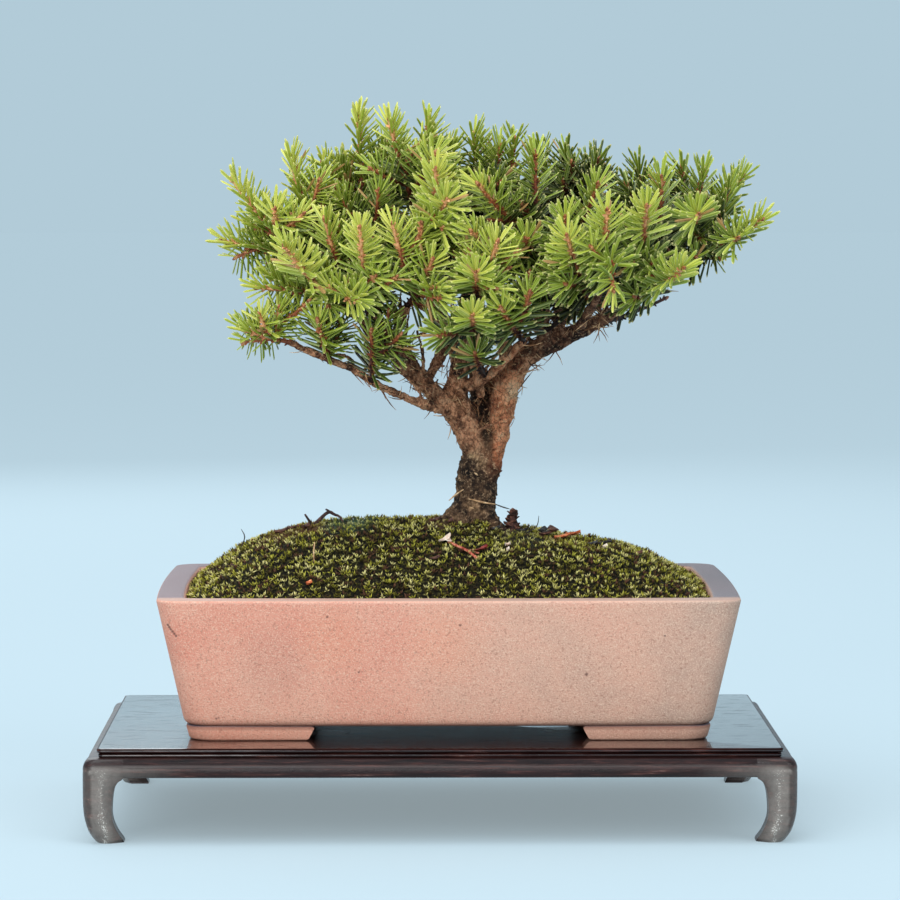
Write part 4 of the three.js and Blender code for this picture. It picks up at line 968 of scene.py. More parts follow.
# Tree: one grown body, from the flared foot of the trunk through the fork to the twigs that carry the
# sprays. Each limb is a tapered run of points; together they are skinned and given scaly bark.
LIMBS = {
    "trunk": [
        (10, 5, 64, 8.6), (10, 5, 74, 8.3), (10.2, 5, 81, 7.2), (10.6, 5, 86, 6.1), (11, 5, 91, 5.8),
        (11.4, 5, 96.5, 5.7), (12.4, 5, 101, 5.9), (12.8, 4.5, 106, 4.6), (13, 4, 109, 3),
    ],
    "fork_left": [(12.6, 4.5, 101.5, 4.6), (9.1, 3, 108, 4.1), (6.5, 2, 114, 3.8)],
    "left_main": [
        (6.5, 2, 112.5, 3.5), (0.7, 0, 118.4, 2.6), (-5.3, -2, 124.5, 2.4), (-9.6, -4, 128.3, 2.3),
        (-13.3, -6, 131.8, 2), (-16.7, -8, 135, 1.75), (-19.5, -10, 138.2, 1.5), (-22.5, -12, 142.3, 1.4),
        (-28, -14, 146, 1.3), (-31, -13, 151, 1.15), (-33, -11, 157, 1),
    ],
    "left_low": [
        (4.8, 1, 114.2, 1.9), (0.4, -3, 116, 1.4), (-5.3, -7, 117.9, 1.3), (-12.1, -10, 120.8, 1.2),
        (-18.9, -12, 124.1, 1.15), (-24.6, -14, 127.9, 1.1), (-30.8, -16, 130.5, 1.05),
        (-37.5, -18, 133.4, 1), (-42, -19, 135.7, 0.95),
    ],
    "left_front": [(-13.3, -6, 131.8, 1.6), (-12, -13, 139, 1.3), (-9, -19, 146, 1.1)],
    "left_up": [(-16.7, -8, 135, 1.6), (-18, -3, 146, 1.4), (-20, 1, 157, 1.2), (-21, 3, 168, 1)],
    "centre": [
        (8, 3, 109, 3.2), (6.8, 4, 116.7, 2.5), (6.5, 4, 121.6, 2.2), (6.8, 3, 126.3, 1.9),
        (9, 0, 131.3, 1.6), (10, -5, 136, 1.4), (11, -12, 143, 1.2), (11, -18, 148, 1),
    ],
    "centre_up": [
        (6.8, 3, 126.3, 1.8), (3, 3, 138, 1.6), (-1, 2, 150, 1.4), (-4, 0, 162, 1.2), (-5, -3, 169, 1),
    ],
    "centre_right": [
        (6.8, 2, 121.5, 1.8), (12.2, -4, 124.2, 1.5), (17.5, -9, 128.8, 1.3), (21, -12, 132.6, 1.15),
        (24, -15, 136, 1),
    ],
    "right_main": [
        (13.5, 5, 101.5, 4.8), (16, 4, 106.6, 3.9), (17.4, 4, 111.2, 3.5), (18.6, 4, 116.1, 3.5),
        (19.2, 4, 120.4, 3.6), (20.6, 3, 124, 3.6), (23.4, 2, 129, 3.2), (27.7, 1, 132.4, 2.9),
        (33.7, 0, 135, 2.6), (39.9, -1, 138.2, 2.3), (46.2, -2, 140.9, 1.9), (51, -3, 144.4, 1.65),
        (56.4, -4, 147.4, 1.5), (61, -5, 150.3, 1.35), (65.5, -6, 153.4, 1.2), (70, -8, 157, 1),
    ],
    "right_up": [
        (28.5, 0.5, 132.7, 2.1), (30.5, -2, 136.2, 1.8), (30, -4, 141.4, 1.6), (28.6, -7, 149, 1.3),
    ],
    "mid_up": [(20.6, 3, 124, 1.9), (18, 6, 138, 1.6), (15, 7, 152, 1.3), (13, 6, 164, 1)],
    "right_top": [(33.7, 0, 135, 1.9), (35, 5, 147, 1.5), (36, 9, 158, 1.3), (37, 11, 167, 1)],
    "right_front": [(39.9, -1, 138.2, 1.8), (41, -10, 141.5, 1.5), (43, -18, 145.5, 1.3), (45, -25, 150, 1)],
    "right_back": [(56.4, -4, 147.4, 1.4), (62, 6, 153, 1.2), (67, 13, 160, 1)],
    "back_left": [
        (-5.3, -2, 124.5, 2), (-9, 8, 131, 1.7), (-15, 18, 138, 1.5), (-20, 27, 145, 1.3), (-24, 34, 152, 1),
    ],
    "back_middle": [
        (6.5, 4, 121.6, 2.1), (5, 13, 130, 1.7), (6, 22, 139, 1.4), (9, 31, 148, 1.2), (10, 38, 155, 1),
    ],
    "back_right": [
        (23.4, 2, 129.2, 2.1), (29, 11, 134, 1.7), (36, 19, 140, 1.5), (44, 27, 147, 1.3), (50, 33, 153, 1),
    ],
}
ROOTS = [
    [(8, 3, 88, 3.2), (3.5, 0.5, 84.5, 2.4), (-1, -2, 82.6, 1.5), (-6, -4, 81, 0.9)],
    [(12, 3, 87, 3.2), (15.5, 0, 83.5, 2.2), (19, -2.5, 80.5, 1.1)],
    [(8, 4, 86, 3.2), (6, -3.5, 82.5, 2.0), (4, -8, 79, 1.0)],
    [(12, 7, 87, 3.2), (15, 12, 82.5, 2.2), (19, 16, 78.5, 1.1)],
    [(8, 7, 86, 3.0), (3, 11, 82.5, 2.0), (-1, 15, 79, 1.0)],
]
HOLLOW_WOOD = [
    [
        (12.8, 7, 99, 4.4), (12.4, 8, 106, 3.6), (12.2, 9, 113, 3.1), (11.6, 10, 120, 2.5),
        (10.6, 10, 127, 1.8),
    ],
    [(13.5, 8, 104, 3.0), (15.5, 9.5, 112, 2.4), (15.2, 10, 121, 1.8), (17, 9, 129, 1.3)],
    [(4.5, 2, 117, 2.2), (5, 2, 123, 2.3), (6, 1, 128, 2.5), (7.5, 0, 133, 2.1), (9, -2, 138, 1.4)],
    [(12.4, 1, 119, 1.1), (11.4, -1, 125, 1.5), (9.8, -3, 130, 1.7), (8, -4, 136, 1.3)],
    [(-3, 3, 124, 1.2), (0, 4, 130, 1.8), (3, 4, 136, 2), (5, 2, 142, 1.5)],
]
DEAD_TWIGS = {
    "left_main": (13, 0.1, 0.75), "left_low": (4, 0.15, 0.7), "fork_left": (3, 0.3, 1),
    "left_front": (3, 0.1, 0.8), "centre": (12, 0.1, 0.7), "centre_up": (4, 0, 0.4),
    "centre_right": (3, 0.1, 0.8), "mid_up": (4, 0.05, 0.45), "right_main": (12, 0.25, 0.72),
    "right_up": (6, 0.05, 0.7), "left_up": (3, 0.1, 0.5), "back_middle": (3, 0.1, 0.6),
}
DEAD_TWIG_REACH = (8, 17)
DEAD_TWIG_TAPER = [(0, 0.75), (0.35, 0.6), (0.7, 0.55), (1, 0.5)]
LIMB_STEP = 0.9
LIMB_LUMPS = [(0.13, 4.2), (0.07, 1.7)]
THICK_LIMB = 2.5
BARK_VOXEL = 0.48 * MM
FLAKE_OUTLINE = [(-0.5, -0.7), (0.45, -0.8), (0.6, 0.2), (0.1, 0.9), (-0.55, 0.5)]
FLAKES_BELOW = 0.12
FLAKES_AT_MOST = 260000.0
DRY_SHAPE = [(0, 0.2), (0.35, 0.24), (0.7, 0.2), (1, 0.06)]
DRY_LENGTH = 6.4
DRY_BOW = 2.6
DRY_ABOVE = 0.108
DRY_AT_MOST = 160000.0
# Patches laid on the bark: the two pale ones on the left fork are its own colour; the three dark ones
# between the forks and in the hollow behind them are painted shade; the orange one on the right fork is a
# painted highlight.
BARK_TINTS_AND_PAINTED_LIGHT = [
    ((9.4, -2, 108.4), 5, 0.6, (1.1, 0.4, 1), (210, 148, 110)),
    ((9.0, -1.5, 102.3), 1.3, 0.95, (0.7, 0.4, 1.3), (222, 184, 138)),
    ((12.2, 9, 118.5), 8, 0.92, (1.5, 0.9, 0.8), (26, 17, 12)),
    ((13.6, 4, 110), 6, 0.88, (2.6, 0.5, 0.8), (34, 22, 16)),
    ((14.6, 0, 106.5), 4.6, 0.75, (2.0, 0.4, 0.8), (72, 55, 39)),
    ((17.6, 1, 103.5), 6.5, 0.6, (2.6, 0.4, 1), (216, 122, 80)),
]


def limb_mesh(name, rows, sides):
    """A tapered limb through rows of x, y, z and radius in millimetres, lumpy as old wood is."""
    length = sum(math.dist(a[:3], b[:3]) for a, b in zip(rows, rows[1:]))
    steps = max(2, round(length / LIMB_STEP))
    stations = [along_curve(rows, i / steps) for i in range(steps + 1)]
    rings, side = [], Vector((0.3, 1, 0.1))
    for k, station in enumerate(stations):
        before, after = stations[max(k - 1, 0)], stations[min(k + 1, steps)]
        along = (Vector(after[:3]) - Vector(before[:3])).normalized()
        out = side.cross(along).normalized()
        side = along.cross(out).normalized()
        ring = []
        for i in range(sides):
            angle = 2 * math.pi * i / sides
            way = out * math.cos(angle) + side * math.sin(angle)
            spot = Vector(station[:3]) + way * station[3]
            lump = sum((height * noise.noise(spot / width) for height, width in LIMB_LUMPS), 1)
            ring.append((Vector(station[:3]) + way * station[3] * lump) * MM)
        rings.append(ring)
    return loft(name, rings, 180)


old_wood, twig_dice = ROOTS + HOLLOW_WOOD, random.Random(31)
for name, (count, first, last) in DEAD_TWIGS.items():
    for _ in range(count):
        foot = Vector(along_curve(LIMBS[name], twig_dice.uniform(first, last))[:3])
        way = Vector((twig_dice.gauss(0, 0.8), twig_dice.gauss(-0.2, 0.7), 1)).normalized()
        bend = Vector([twig_dice.gauss(0, 0.3) for _ in range(3)])
        reach = twig_dice.uniform(*DEAD_TWIG_REACH)
        stations = [(foot + (way * t + bend * t * t) * reach, radius) for t, radius in DEAD_TWIG_TAPER]
        old_wood.append([(*station, radius) for station, radius in stations])

wood = bmesh.new()
for name, rows in list(LIMBS.items()) + [("old wood", rows) for rows in old_wood]:
    limb = limb_mesh(name, rows, 20 if rows[0][3] > THICK_LIMB else 10)
    wood.from_mesh(limb)
    bpy.data.meshes.remove(limb)
wood_mesh = bpy.data.meshes.new("bark")
wood.to_mesh(wood_mesh)
wood.free()
bark_body = put("bark_body", wood_mesh)
skin = bark_body.modifiers.new("skin", "REMESH")
skin.mode = "VOXEL"
skin.voxel_size = BARK_VOXEL
soften = bark_body.modifiers.new("soften", "SMOOTH")
soften.factor = 0.5
soften.iterations = 3
settle(bark_body)

bark_finish, tree = new_finish("scaly bark", 0.88, 0.25)
place = object_place(tree)
axes = grow(tree, "ShaderNodeSeparateXYZ", {0: place}).outputs
grit = speckle(tree, place, 1100, 5, 0.75)
weather = speckle(tree, place, 210, 6, 0.65)
old_bark = ramp(
    tree, weather,
    (0.36, 24, 17, 13), (0.47, 60, 44, 33), (0.56, 110, 82, 60), (0.68, 180, 140, 102),
)
upper_bark = ramp(
    tree, weather,
    (0.35, 48, 30, 22), (0.45, 136, 88, 62), (0.54, 214, 150, 110), (0.68, 232, 180, 140),
)
limb_bark = ramp(tree, weather, (0.38, 30, 18, 14), (0.52, 84, 50, 38), (0.68, 160, 106, 78))
ruddy_bark = ramp(
    tree, weather,
    (0.33, 96, 54, 36), (0.43, 190, 116, 80), (0.54, 238, 160, 114), (0.68, 250, 204, 160),
)
colour = lay(tree, span(tree, axes[2], 0.1015, 0.1065), old_bark, upper_bark)
colour = lay(tree, span(tree, axes[0], 0.024, 0.032, 0, 0.75), colour, limb_bark)
fork_side = reckon(tree, "MULTIPLY", span(tree, axes[2], 0.094, 0.105), span(tree, axes[0], 0.0125, 0.0165))
ruddy = reckon(tree, "MULTIPLY", fork_side, span(tree, axes[0], 0.021, 0.026, 1, 0))
colour = lay(tree, ruddy, colour, ruddy_bark)
for centre, radius, strength, stretch, tint in BARK_TINTS_AND_PAINTED_LIGHT:
    colour = lay(tree, near(tree, place, centre, radius, strength, stretch), colour, tint)
long_scales = grow(tree, "ShaderNodeMapping", {0: place, 3: (1, 1, 0.45)})
cracks = grow(tree, "ShaderNodeTexVoronoi", {0: long_scales, "Scale": 800}, feature="DISTANCE_TO_EDGE")
cracked = ramp(tree, cracks.outputs["Distance"], (0.02, 0.45), (0.1, 0))
colour = lay(tree, cracked, colour, (50, 30, 22))
colour = lay(tree, ramp(tree, grit, (0.55, 0), (0.63, 0.75)), colour, (214, 174, 134))
colour = lay(tree, ramp(tree, grit, (0.33, 0.95), (0.47, 0)), colour, (16, 10, 8))
scales = grow(tree, "ShaderNodeTexVoronoi", {0: place, "Scale": 480}).outputs["Distance"]
coat(tree, colour, reckon(tree, "SUBTRACT", grit, scales), 1, 0.0013)

dry_finish, tree = new_finish("dry needles", 0.8, 0.3)
dry_mottle = speckle(tree, object_place(tree), 260)
coat(tree, ramp(tree, dry_mottle, (0.36, 80, 48, 32), (0.5, 156, 106, 70), (0.62, 226, 182, 136)))


def round_ring(radius, sides, rise, across=0.0, shift=0.0):
    """A small round ring of points, sized in millimetres and turned by a share of a side."""
    angles = [2 * math.pi * (i + shift) / sides for i in range(sides)]
    return [((radius * math.cos(a) + across) * MM, radius * math.sin(a) * MM, rise * MM) for a in angles]


flake_low = [(x * MM, y * MM, 0) for x, y in FLAKE_OUTLINE]
flake_high = [(x * MM * 0.9, y * MM * 0.9, (0.16 + 0.28 * (y + 0.8)) * MM) for x, y in FLAKE_OUTLINE]
flake = form("bark_flake", [stacked([flake_low, flake_high])], {})
dry_rings = [round_ring(radius, 3, DRY_LENGTH * t - 0.3, DRY_BOW * t * t) for t, radius in DRY_SHAPE]
dry_needle = form("dry_needle", [stacked(dry_rings)], {})

tree, given, result = scatter_tree("roughen bark", {
    "Flake": ("Object", None),
    "Flake Spacing": ("Float", 1.9 * MM),
    "Dry Needle": ("Object", None),
    "Dry Spacing": ("Float", 1.05 * MM),
    "Trunk Relief": ("Float", 3.4 * MM),
    "Twig Relief": ("Float", 1.5 * MM),
    "Seed": ("Int", 6),
    "Finish": ("Material", None),
    "Dry Finish": ("Material", None),
})
spot = grow(tree, "GeometryNodeInputPosition")
level = grow(tree, "ShaderNodeSeparateXYZ", {0: spot}).outputs[2]
depth = span(tree, level, 0.102, 0.135, given["Trunk Relief"], given["Twig Relief"])
lumps = reckon(tree, "SUBTRACT", speckle(tree, spot, 330, 5, 0.72), 0.5)
push = {0: grow(tree, "GeometryNodeInputNormal"), "Scale": reckon(tree, "MULTIPLY", lumps, depth)}
shift = grow(tree, "ShaderNodeVectorMath", push, operation="SCALE")
rough_skin = grow(tree, "GeometryNodeSetPosition", {"Geometry": given["Geometry"], "Offset": shift})
flaky = grow(tree, "FunctionNodeCompare", {0: level, 1: FLAKES_BELOW}, operation="LESS_THAN")
points = scattered(tree, rough_skin, flaky, given["Flake Spacing"], FLAKES_AT_MOST, given["Seed"])
spin = grow(tree, "ShaderNodeCombineXYZ", {2: dealt(tree, 0.0, 2 * math.pi, 2)})
angles = turned(tree, points["Rotation"], spin)
flakes = planted(tree, given["Flake"], points["Points"], angles, dealt(tree, 0.25, 0.7, 5))
shaggy = grow(tree, "FunctionNodeCompare", {0: level, 1: DRY_ABOVE}, operation="GREATER_THAN")
tufts = span(tree, speckle(tree, spot, 90), 0.36, 0.58)
points = scattered(tree, rough_skin, shaggy, given["Dry Spacing"], DRY_AT_MOST, given["Seed"], tufts)
sprawl = grow(tree, "FunctionNodeRandomValue", {
    0: (1.0, -0.5, 0), 1: (1.5, 0.5, 6.28), "Seed": 9,
}, data_type="FLOAT_VECTOR")
angles = turned(tree, points["Rotation"], sprawl)
dry = planted(tree, given["Dry Needle"], points["Points"], angles, dealt(tree, 0.4, 1.0, 10))
dry_clad = clad(tree, real(tree, dry), given["Dry Finish"])
bark_clad = clad(tree, joined(tree, real(tree, flakes), rough_skin), given["Finish"])
feed(tree, result.inputs[0], joined(tree, bark_clad, dry_clad))

bark_mesh = run_tree(
    bark_body, tree, flake=flake, dry_needle=dry_needle, finish=bark_finish, dry_finish=dry_finish
)
bpy.data.objects.remove(flake)
bpy.data.objects.remove(dry_needle)
for polygon in bark_mesh.polygons:
    polygon.use_smooth = True
piece("bark", bark_mesh, bark_finish, "bark", "tree")


# Sprays: red-brown shoots set with pegs, each peg with one flattened, blunt needle. The needles part on a
# shoot's outer side and stand closer to it towards the bud, where the youngest are yellow-green. Their
# green is also painted darker deep in the crown and on its right, and lighter outside, at the front and
# towards the tips: painted shade and light.
SPRAYS = [
    ("left_main", 1, (-42, -6, 188), [(0.45, (-33, -1, 184)), (0.3, (-50, 6, 172))]),
    ("left_main", 0.9, (-58, -12, 181), [(0.35, (-61, -6, 164)), (0.5, (-46, -21, 173))]),
    ("left_main", 0.8, (-43, -38, 163), [(0.25, (-51, -20, 151))]),
    ("left_main", 0.7, (-32, -25, 170), [(0.45, (-24, -21, 163))]),
    ("left_main", 0.6, (-22, -38, 168), [(0.35, (-31, -31, 151))]),
    ("left_front", 1, (-2, -35, 159), [(0.3, (-13, -34, 169)), (0.4, (-5, -30, 169))]),
    ("left_up", 1, (-23, 3, 201.4), [(0.3, (-33, 4, 186)), (0.4, (-15, 9, 192))]),
    ("left_up", 0.6, (-17, -15, 178), [(0.5, (-28, -10, 176))]),
    ("centre_up", 1, (-14, -14, 198), [(0.3, (-1, -22, 189))]),
    ("centre_up", 0.75, (-3, 1, 198), [(0.55, (4, 8, 190)), (0.3, (-10, 14, 184))]),
    ("centre_up", 0.5, (-1, -31, 184), [(0.6, (2, -35, 176)), (0.35, (3, -27, 166))]),
    ("mid_up", 1, (10, 1, 194), [(0.4, (18, -2, 191))]),
    ("mid_up", 0.65, (22, 6, 193), [(0.5, (14, 16, 187))]),
    ("right_up", 1, (27, -17, 189), [(0.12, (9, -34, 167)), (0.4, (11, -27, 180)), (0.25, (24, -31, 165))]),
    ("right_up", 0.8, (44, -30, 180), [(0.45, (35, -34, 171))]),
    ("right_up", 0.45, (43, -23, 151), []),
    ("right_top", 1, (37, 10, 189), [(0.3, (46, 5, 187)), (0.2, (44, 17, 186))]),
    ("right_front", 0.7, (35, -46, 166), [(0.5, (33, -34, 155))]),
    ("right_front", 1, (46, -46, 173), [(0.4, (48, -45, 158))]),
    ("right_main", 0.8, (57, -44, 174), [(0.45, (59, -33, 158))]),
    ("right_main", 0.87, (62, -29, 182), [(0.55, (53, -16, 180))]),
    ("right_main", 0.93, (75, -16, 184), [(0.5, (72, -35, 172))]),
    ("right_main", 1, (90, -26, 170), [(0.3, (83, -6, 180)), (0.15, (77, -14, 162))]),
    ("right_main", 0.72, (67, -46, 157), []),
    ("right_back", 1, (88, 14, 182), [(0.3, (70, 6, 185)), (0.4, (84, 25, 172)), (0.2, (74, 32, 166))]),
    ("right_back", 0.5, (58, 15, 185), [(0.4, (70, 20, 176))]),
    ("right_main", 0.6, (66, 16, 147), [(0.4, (56, 28, 148))]),
    ("centre", 1, (10, -43, 156), [(0.4, (16, -38, 164))]),
    ("centre", 0.72, (9, -42, 144), [(0.35, (0, -31, 138))]),
    ("centre_right", 1, (17, -37, 146), [(0.3, (25, -35, 150))]),
    ("centre_right", 0.3, (10, -27, 133), []),
    ("left_low", 1, (-54, -20, 139), [(0.3, (-45, -23, 145))]),
    ("left_low", 0.75, (-34, -27, 142), []),
    ("left_low", 0.5, (-19, -27, 139), [(0.5, (-11, -27, 138))]),
    ("back_left", 1, (-40, 44, 166), [(0.3, (-24, 52, 162)), (0.35, (-30, 38, 178)), (0.3, (-46, 34, 156))]),
    ("back_left", 0.75, (-27, 26, 186), [(0.4, (-40, 28, 178)), (0.45, (-15, 34, 180))]),
    ("back_left", 0.5, (-41, 14, 180), [(0.4, (-54, 18, 166)), (0.25, (-40, 24, 156))]),
    ("back_middle", 1, (6, 53, 168), [(0.3, (-10, 49, 167)), (0.3, (22, 51, 164)), (0.2, (10, 50, 153))]),
    ("back_middle", 0.7, (2, 28, 190), [(0.5, (12, 38, 180)), (0.4, (-8, 36, 178))]),
    ("back_right", 1, (62, 46, 168), [(0.3, (44, 52, 166)), (0.4, (72, 38, 164)), (0.2, (56, 50, 152))]),
    ("back_right", 0.75, (48, 30, 186), [(0.4, (34, 38, 178)), (0.45, (60, 30, 180))]),
    ("back_right", 0.5, (30, 22, 190), [(0.5, (22, 34, 180))]),
]
SHOOT_BEND_OUT = 0.58
SHOOT_BEND_UP = 0.44
SHOOT_STEP = 1.5
STEM_RADIUS = 0.74
STEM_FORK_RADIUS = 0.64
STEM_TIP_RADIUS = 0.44
TWIGS_PER_SHOOT = 3
TWIG_RADIUS = 0.5
TWIG_REACH = (8, 14)
TWIG_FORKS = (0.05, 0.55)
TWIG_ASIDE = (0.7, 1.3)
TWIG_UP = 0.12
TWIG_ON_SIDE_SHOOT = 0.85
TWIG_LOWEST = 143
TWIG_LOWEST_LEFT = 130
LOW_SIDE = -15
OPEN_SIDE = 50
CROWN_TOP = 199.6
CROWN_BACK = 55
CROWN_HEART = Vector((12, 0, 138))
CROWN_REACH = Vector((80, 52, 66))
LEAFY_LENGTH = 34
LEAFY_SHARE = 0.86
LOW_TUFT = 134
LOW_TUFT_SHARE = 0.45
LEAF_LINE = 143
LEAF_LINE_FROM = 25
LEAF_LINE_BEND = 50
LEAF_LINE_RISE = 0.4
LIGHT_SIDE = 20
LIGHT_FALL = 0.015
LIGHT_SHADE = 0.42
LIGHT_FRONT = 0.22
LIGHT_FRONT_FROM = 12
LIGHT_FRONT_DEPTH = 20
LIGHT_OUTER = 1.25
LIGHT_LESS = 0.58
LIGHT_TIP = 0.3
TWIG_VIGOUR = 0.88
LOW_VIGOUR = 0.86
LOW_VIGOUR_GAIN = 0.14
LOW_CROWN = 132
LOW_CROWN_DEPTH = 14
NEEDLE_LENGTH = 8.4 * MM
NEEDLE_WIDTH = 1.12 * MM
NEEDLE_THICKNESS = 0.62 * MM
NEEDLE_BEND = 0.1
NEEDLE_SHAPE = [(-0.03, 0.5), (0.14, 0.86), (0.87, 0.94), (1.0, 0.4)]
GOLDEN_ANGLE = 137.508
PEG_SHAPE = [(-0.3, 0.54), (0.95, 0.28)]
BUD_LENGTH = 2.1
BUD_RADIUS = 0.66
BUD_RINGS = 5
BUD_SIDES = 6

needle_rings, needle_reach, needle_edge = [], [], []
for t, share in NEEDLE_SHAPE:
    lean = NEEDLE_LENGTH * NEEDLE_BEND * (t * t - 0.35 * t)
    ring = []
    for i in range(4):
        angle = math.pi / 2 * i
        across = NEEDLE_WIDTH / 2 * share * math.cos(angle)
        thick = NEEDLE_THICKNESS / 2 * share * math.sin(angle)
        ring.append((lean - thick, across, NEEDLE_LENGTH * t))
        needle_reach.append(t)
        needle_edge.append(1.0 if i % 2 == 0 else 0.0)
    needle_rings.append(ring)
needle = form("needle", [stacked(needle_rings)], {"reach": needle_reach, "edge": needle_edge})
peg = form("peg", [stacked([round_ring(radius, 3, rise) for rise, radius in PEG_SHAPE])], {})
bud_rings = []
for k in range(BUD_RINGS):
    t = k / (BUD_RINGS - 1)
    radius = BUD_RADIUS * max(0.08, math.sin(math.pi * min(0.2 + 0.82 * t, 1)) ** 0.7)
    bud_rings.append(round_ring(radius, BUD_SIDES, BUD_LENGTH * t - 0.4, 0.0, 0.5 * (k % 2)))
bud = form("bud", [stacked(bud_rings)], {})

needle_finish, tree = new_finish("needles", 0.38, 0.36)
chance, reach = marked(tree, "chance"), marked(tree, "reach")
# The needles' colour follows the painted light mark, shifted at random for each needle's own tone.
painted_light_and_tone = reckon(tree, "ADD", marked(tree, "light"), span(tree, chance, 0, 1, -0.16, 0.16))
colour = ramp(
    tree, painted_light_and_tone,
    (0.05, 16, 22, 7), (0.3, 56, 70, 17), (0.55, 112, 130, 32), (0.8, 156, 168, 52), (1.0, 190, 188, 78),
)
# Painted highlight: the needles' side ridges are painted pale, more so on the needles painted lighter.
edge_highlight = reckon(
    tree, "MULTIPLY",
    span(tree, marked(tree, "edge"), 0.45, 1, 0, 0.55), span(tree, painted_light_and_tone, 0, 0.6, 0.3, 1),
)
colour = lay(tree, edge_highlight, colour, (206, 214, 120))
colour = lay(tree, span(tree, reach, 0.9, 1, 0, 0.6), colour, (236, 220, 150))
colour = lay(tree, span(tree, reach, -0.02, 0.13, 0.9, 0), colour, (164, 96, 50))
coat(tree, lay(tree, reckon(tree, "GREATER_THAN", chance, 0.985), colour, (178, 138, 84)))

shoot_finish, tree = new_finish("young bark", 0.6, 0.4)
mottle = speckle(tree, object_place(tree), 900, 3)
# The stems' colour follows the painted light mark too: painted lighter outside the crown and darker deep
# inside, mixed with a random mottle.
tone = reckon(tree, "MULTIPLY", reckon(tree, "ADD", mottle, marked(tree, "light")), 0.5)
colour = ramp(tree, tone, (0.27, 30, 15, 11), (0.46, 92, 40, 22), (0.6, 160, 86, 48), (0.74, 230, 168, 116))
coat(tree, colour, mottle, 0.5, 0.0003)

bud_finish, tree = new_finish("bud scales", 0.5, 0.5)
mottle = speckle(tree, object_place(tree), 1300)
coat(tree, ramp(tree, mottle, (0.35, 112, 56, 34), (0.5, 158, 90, 54), (0.68, 206, 146, 100)))


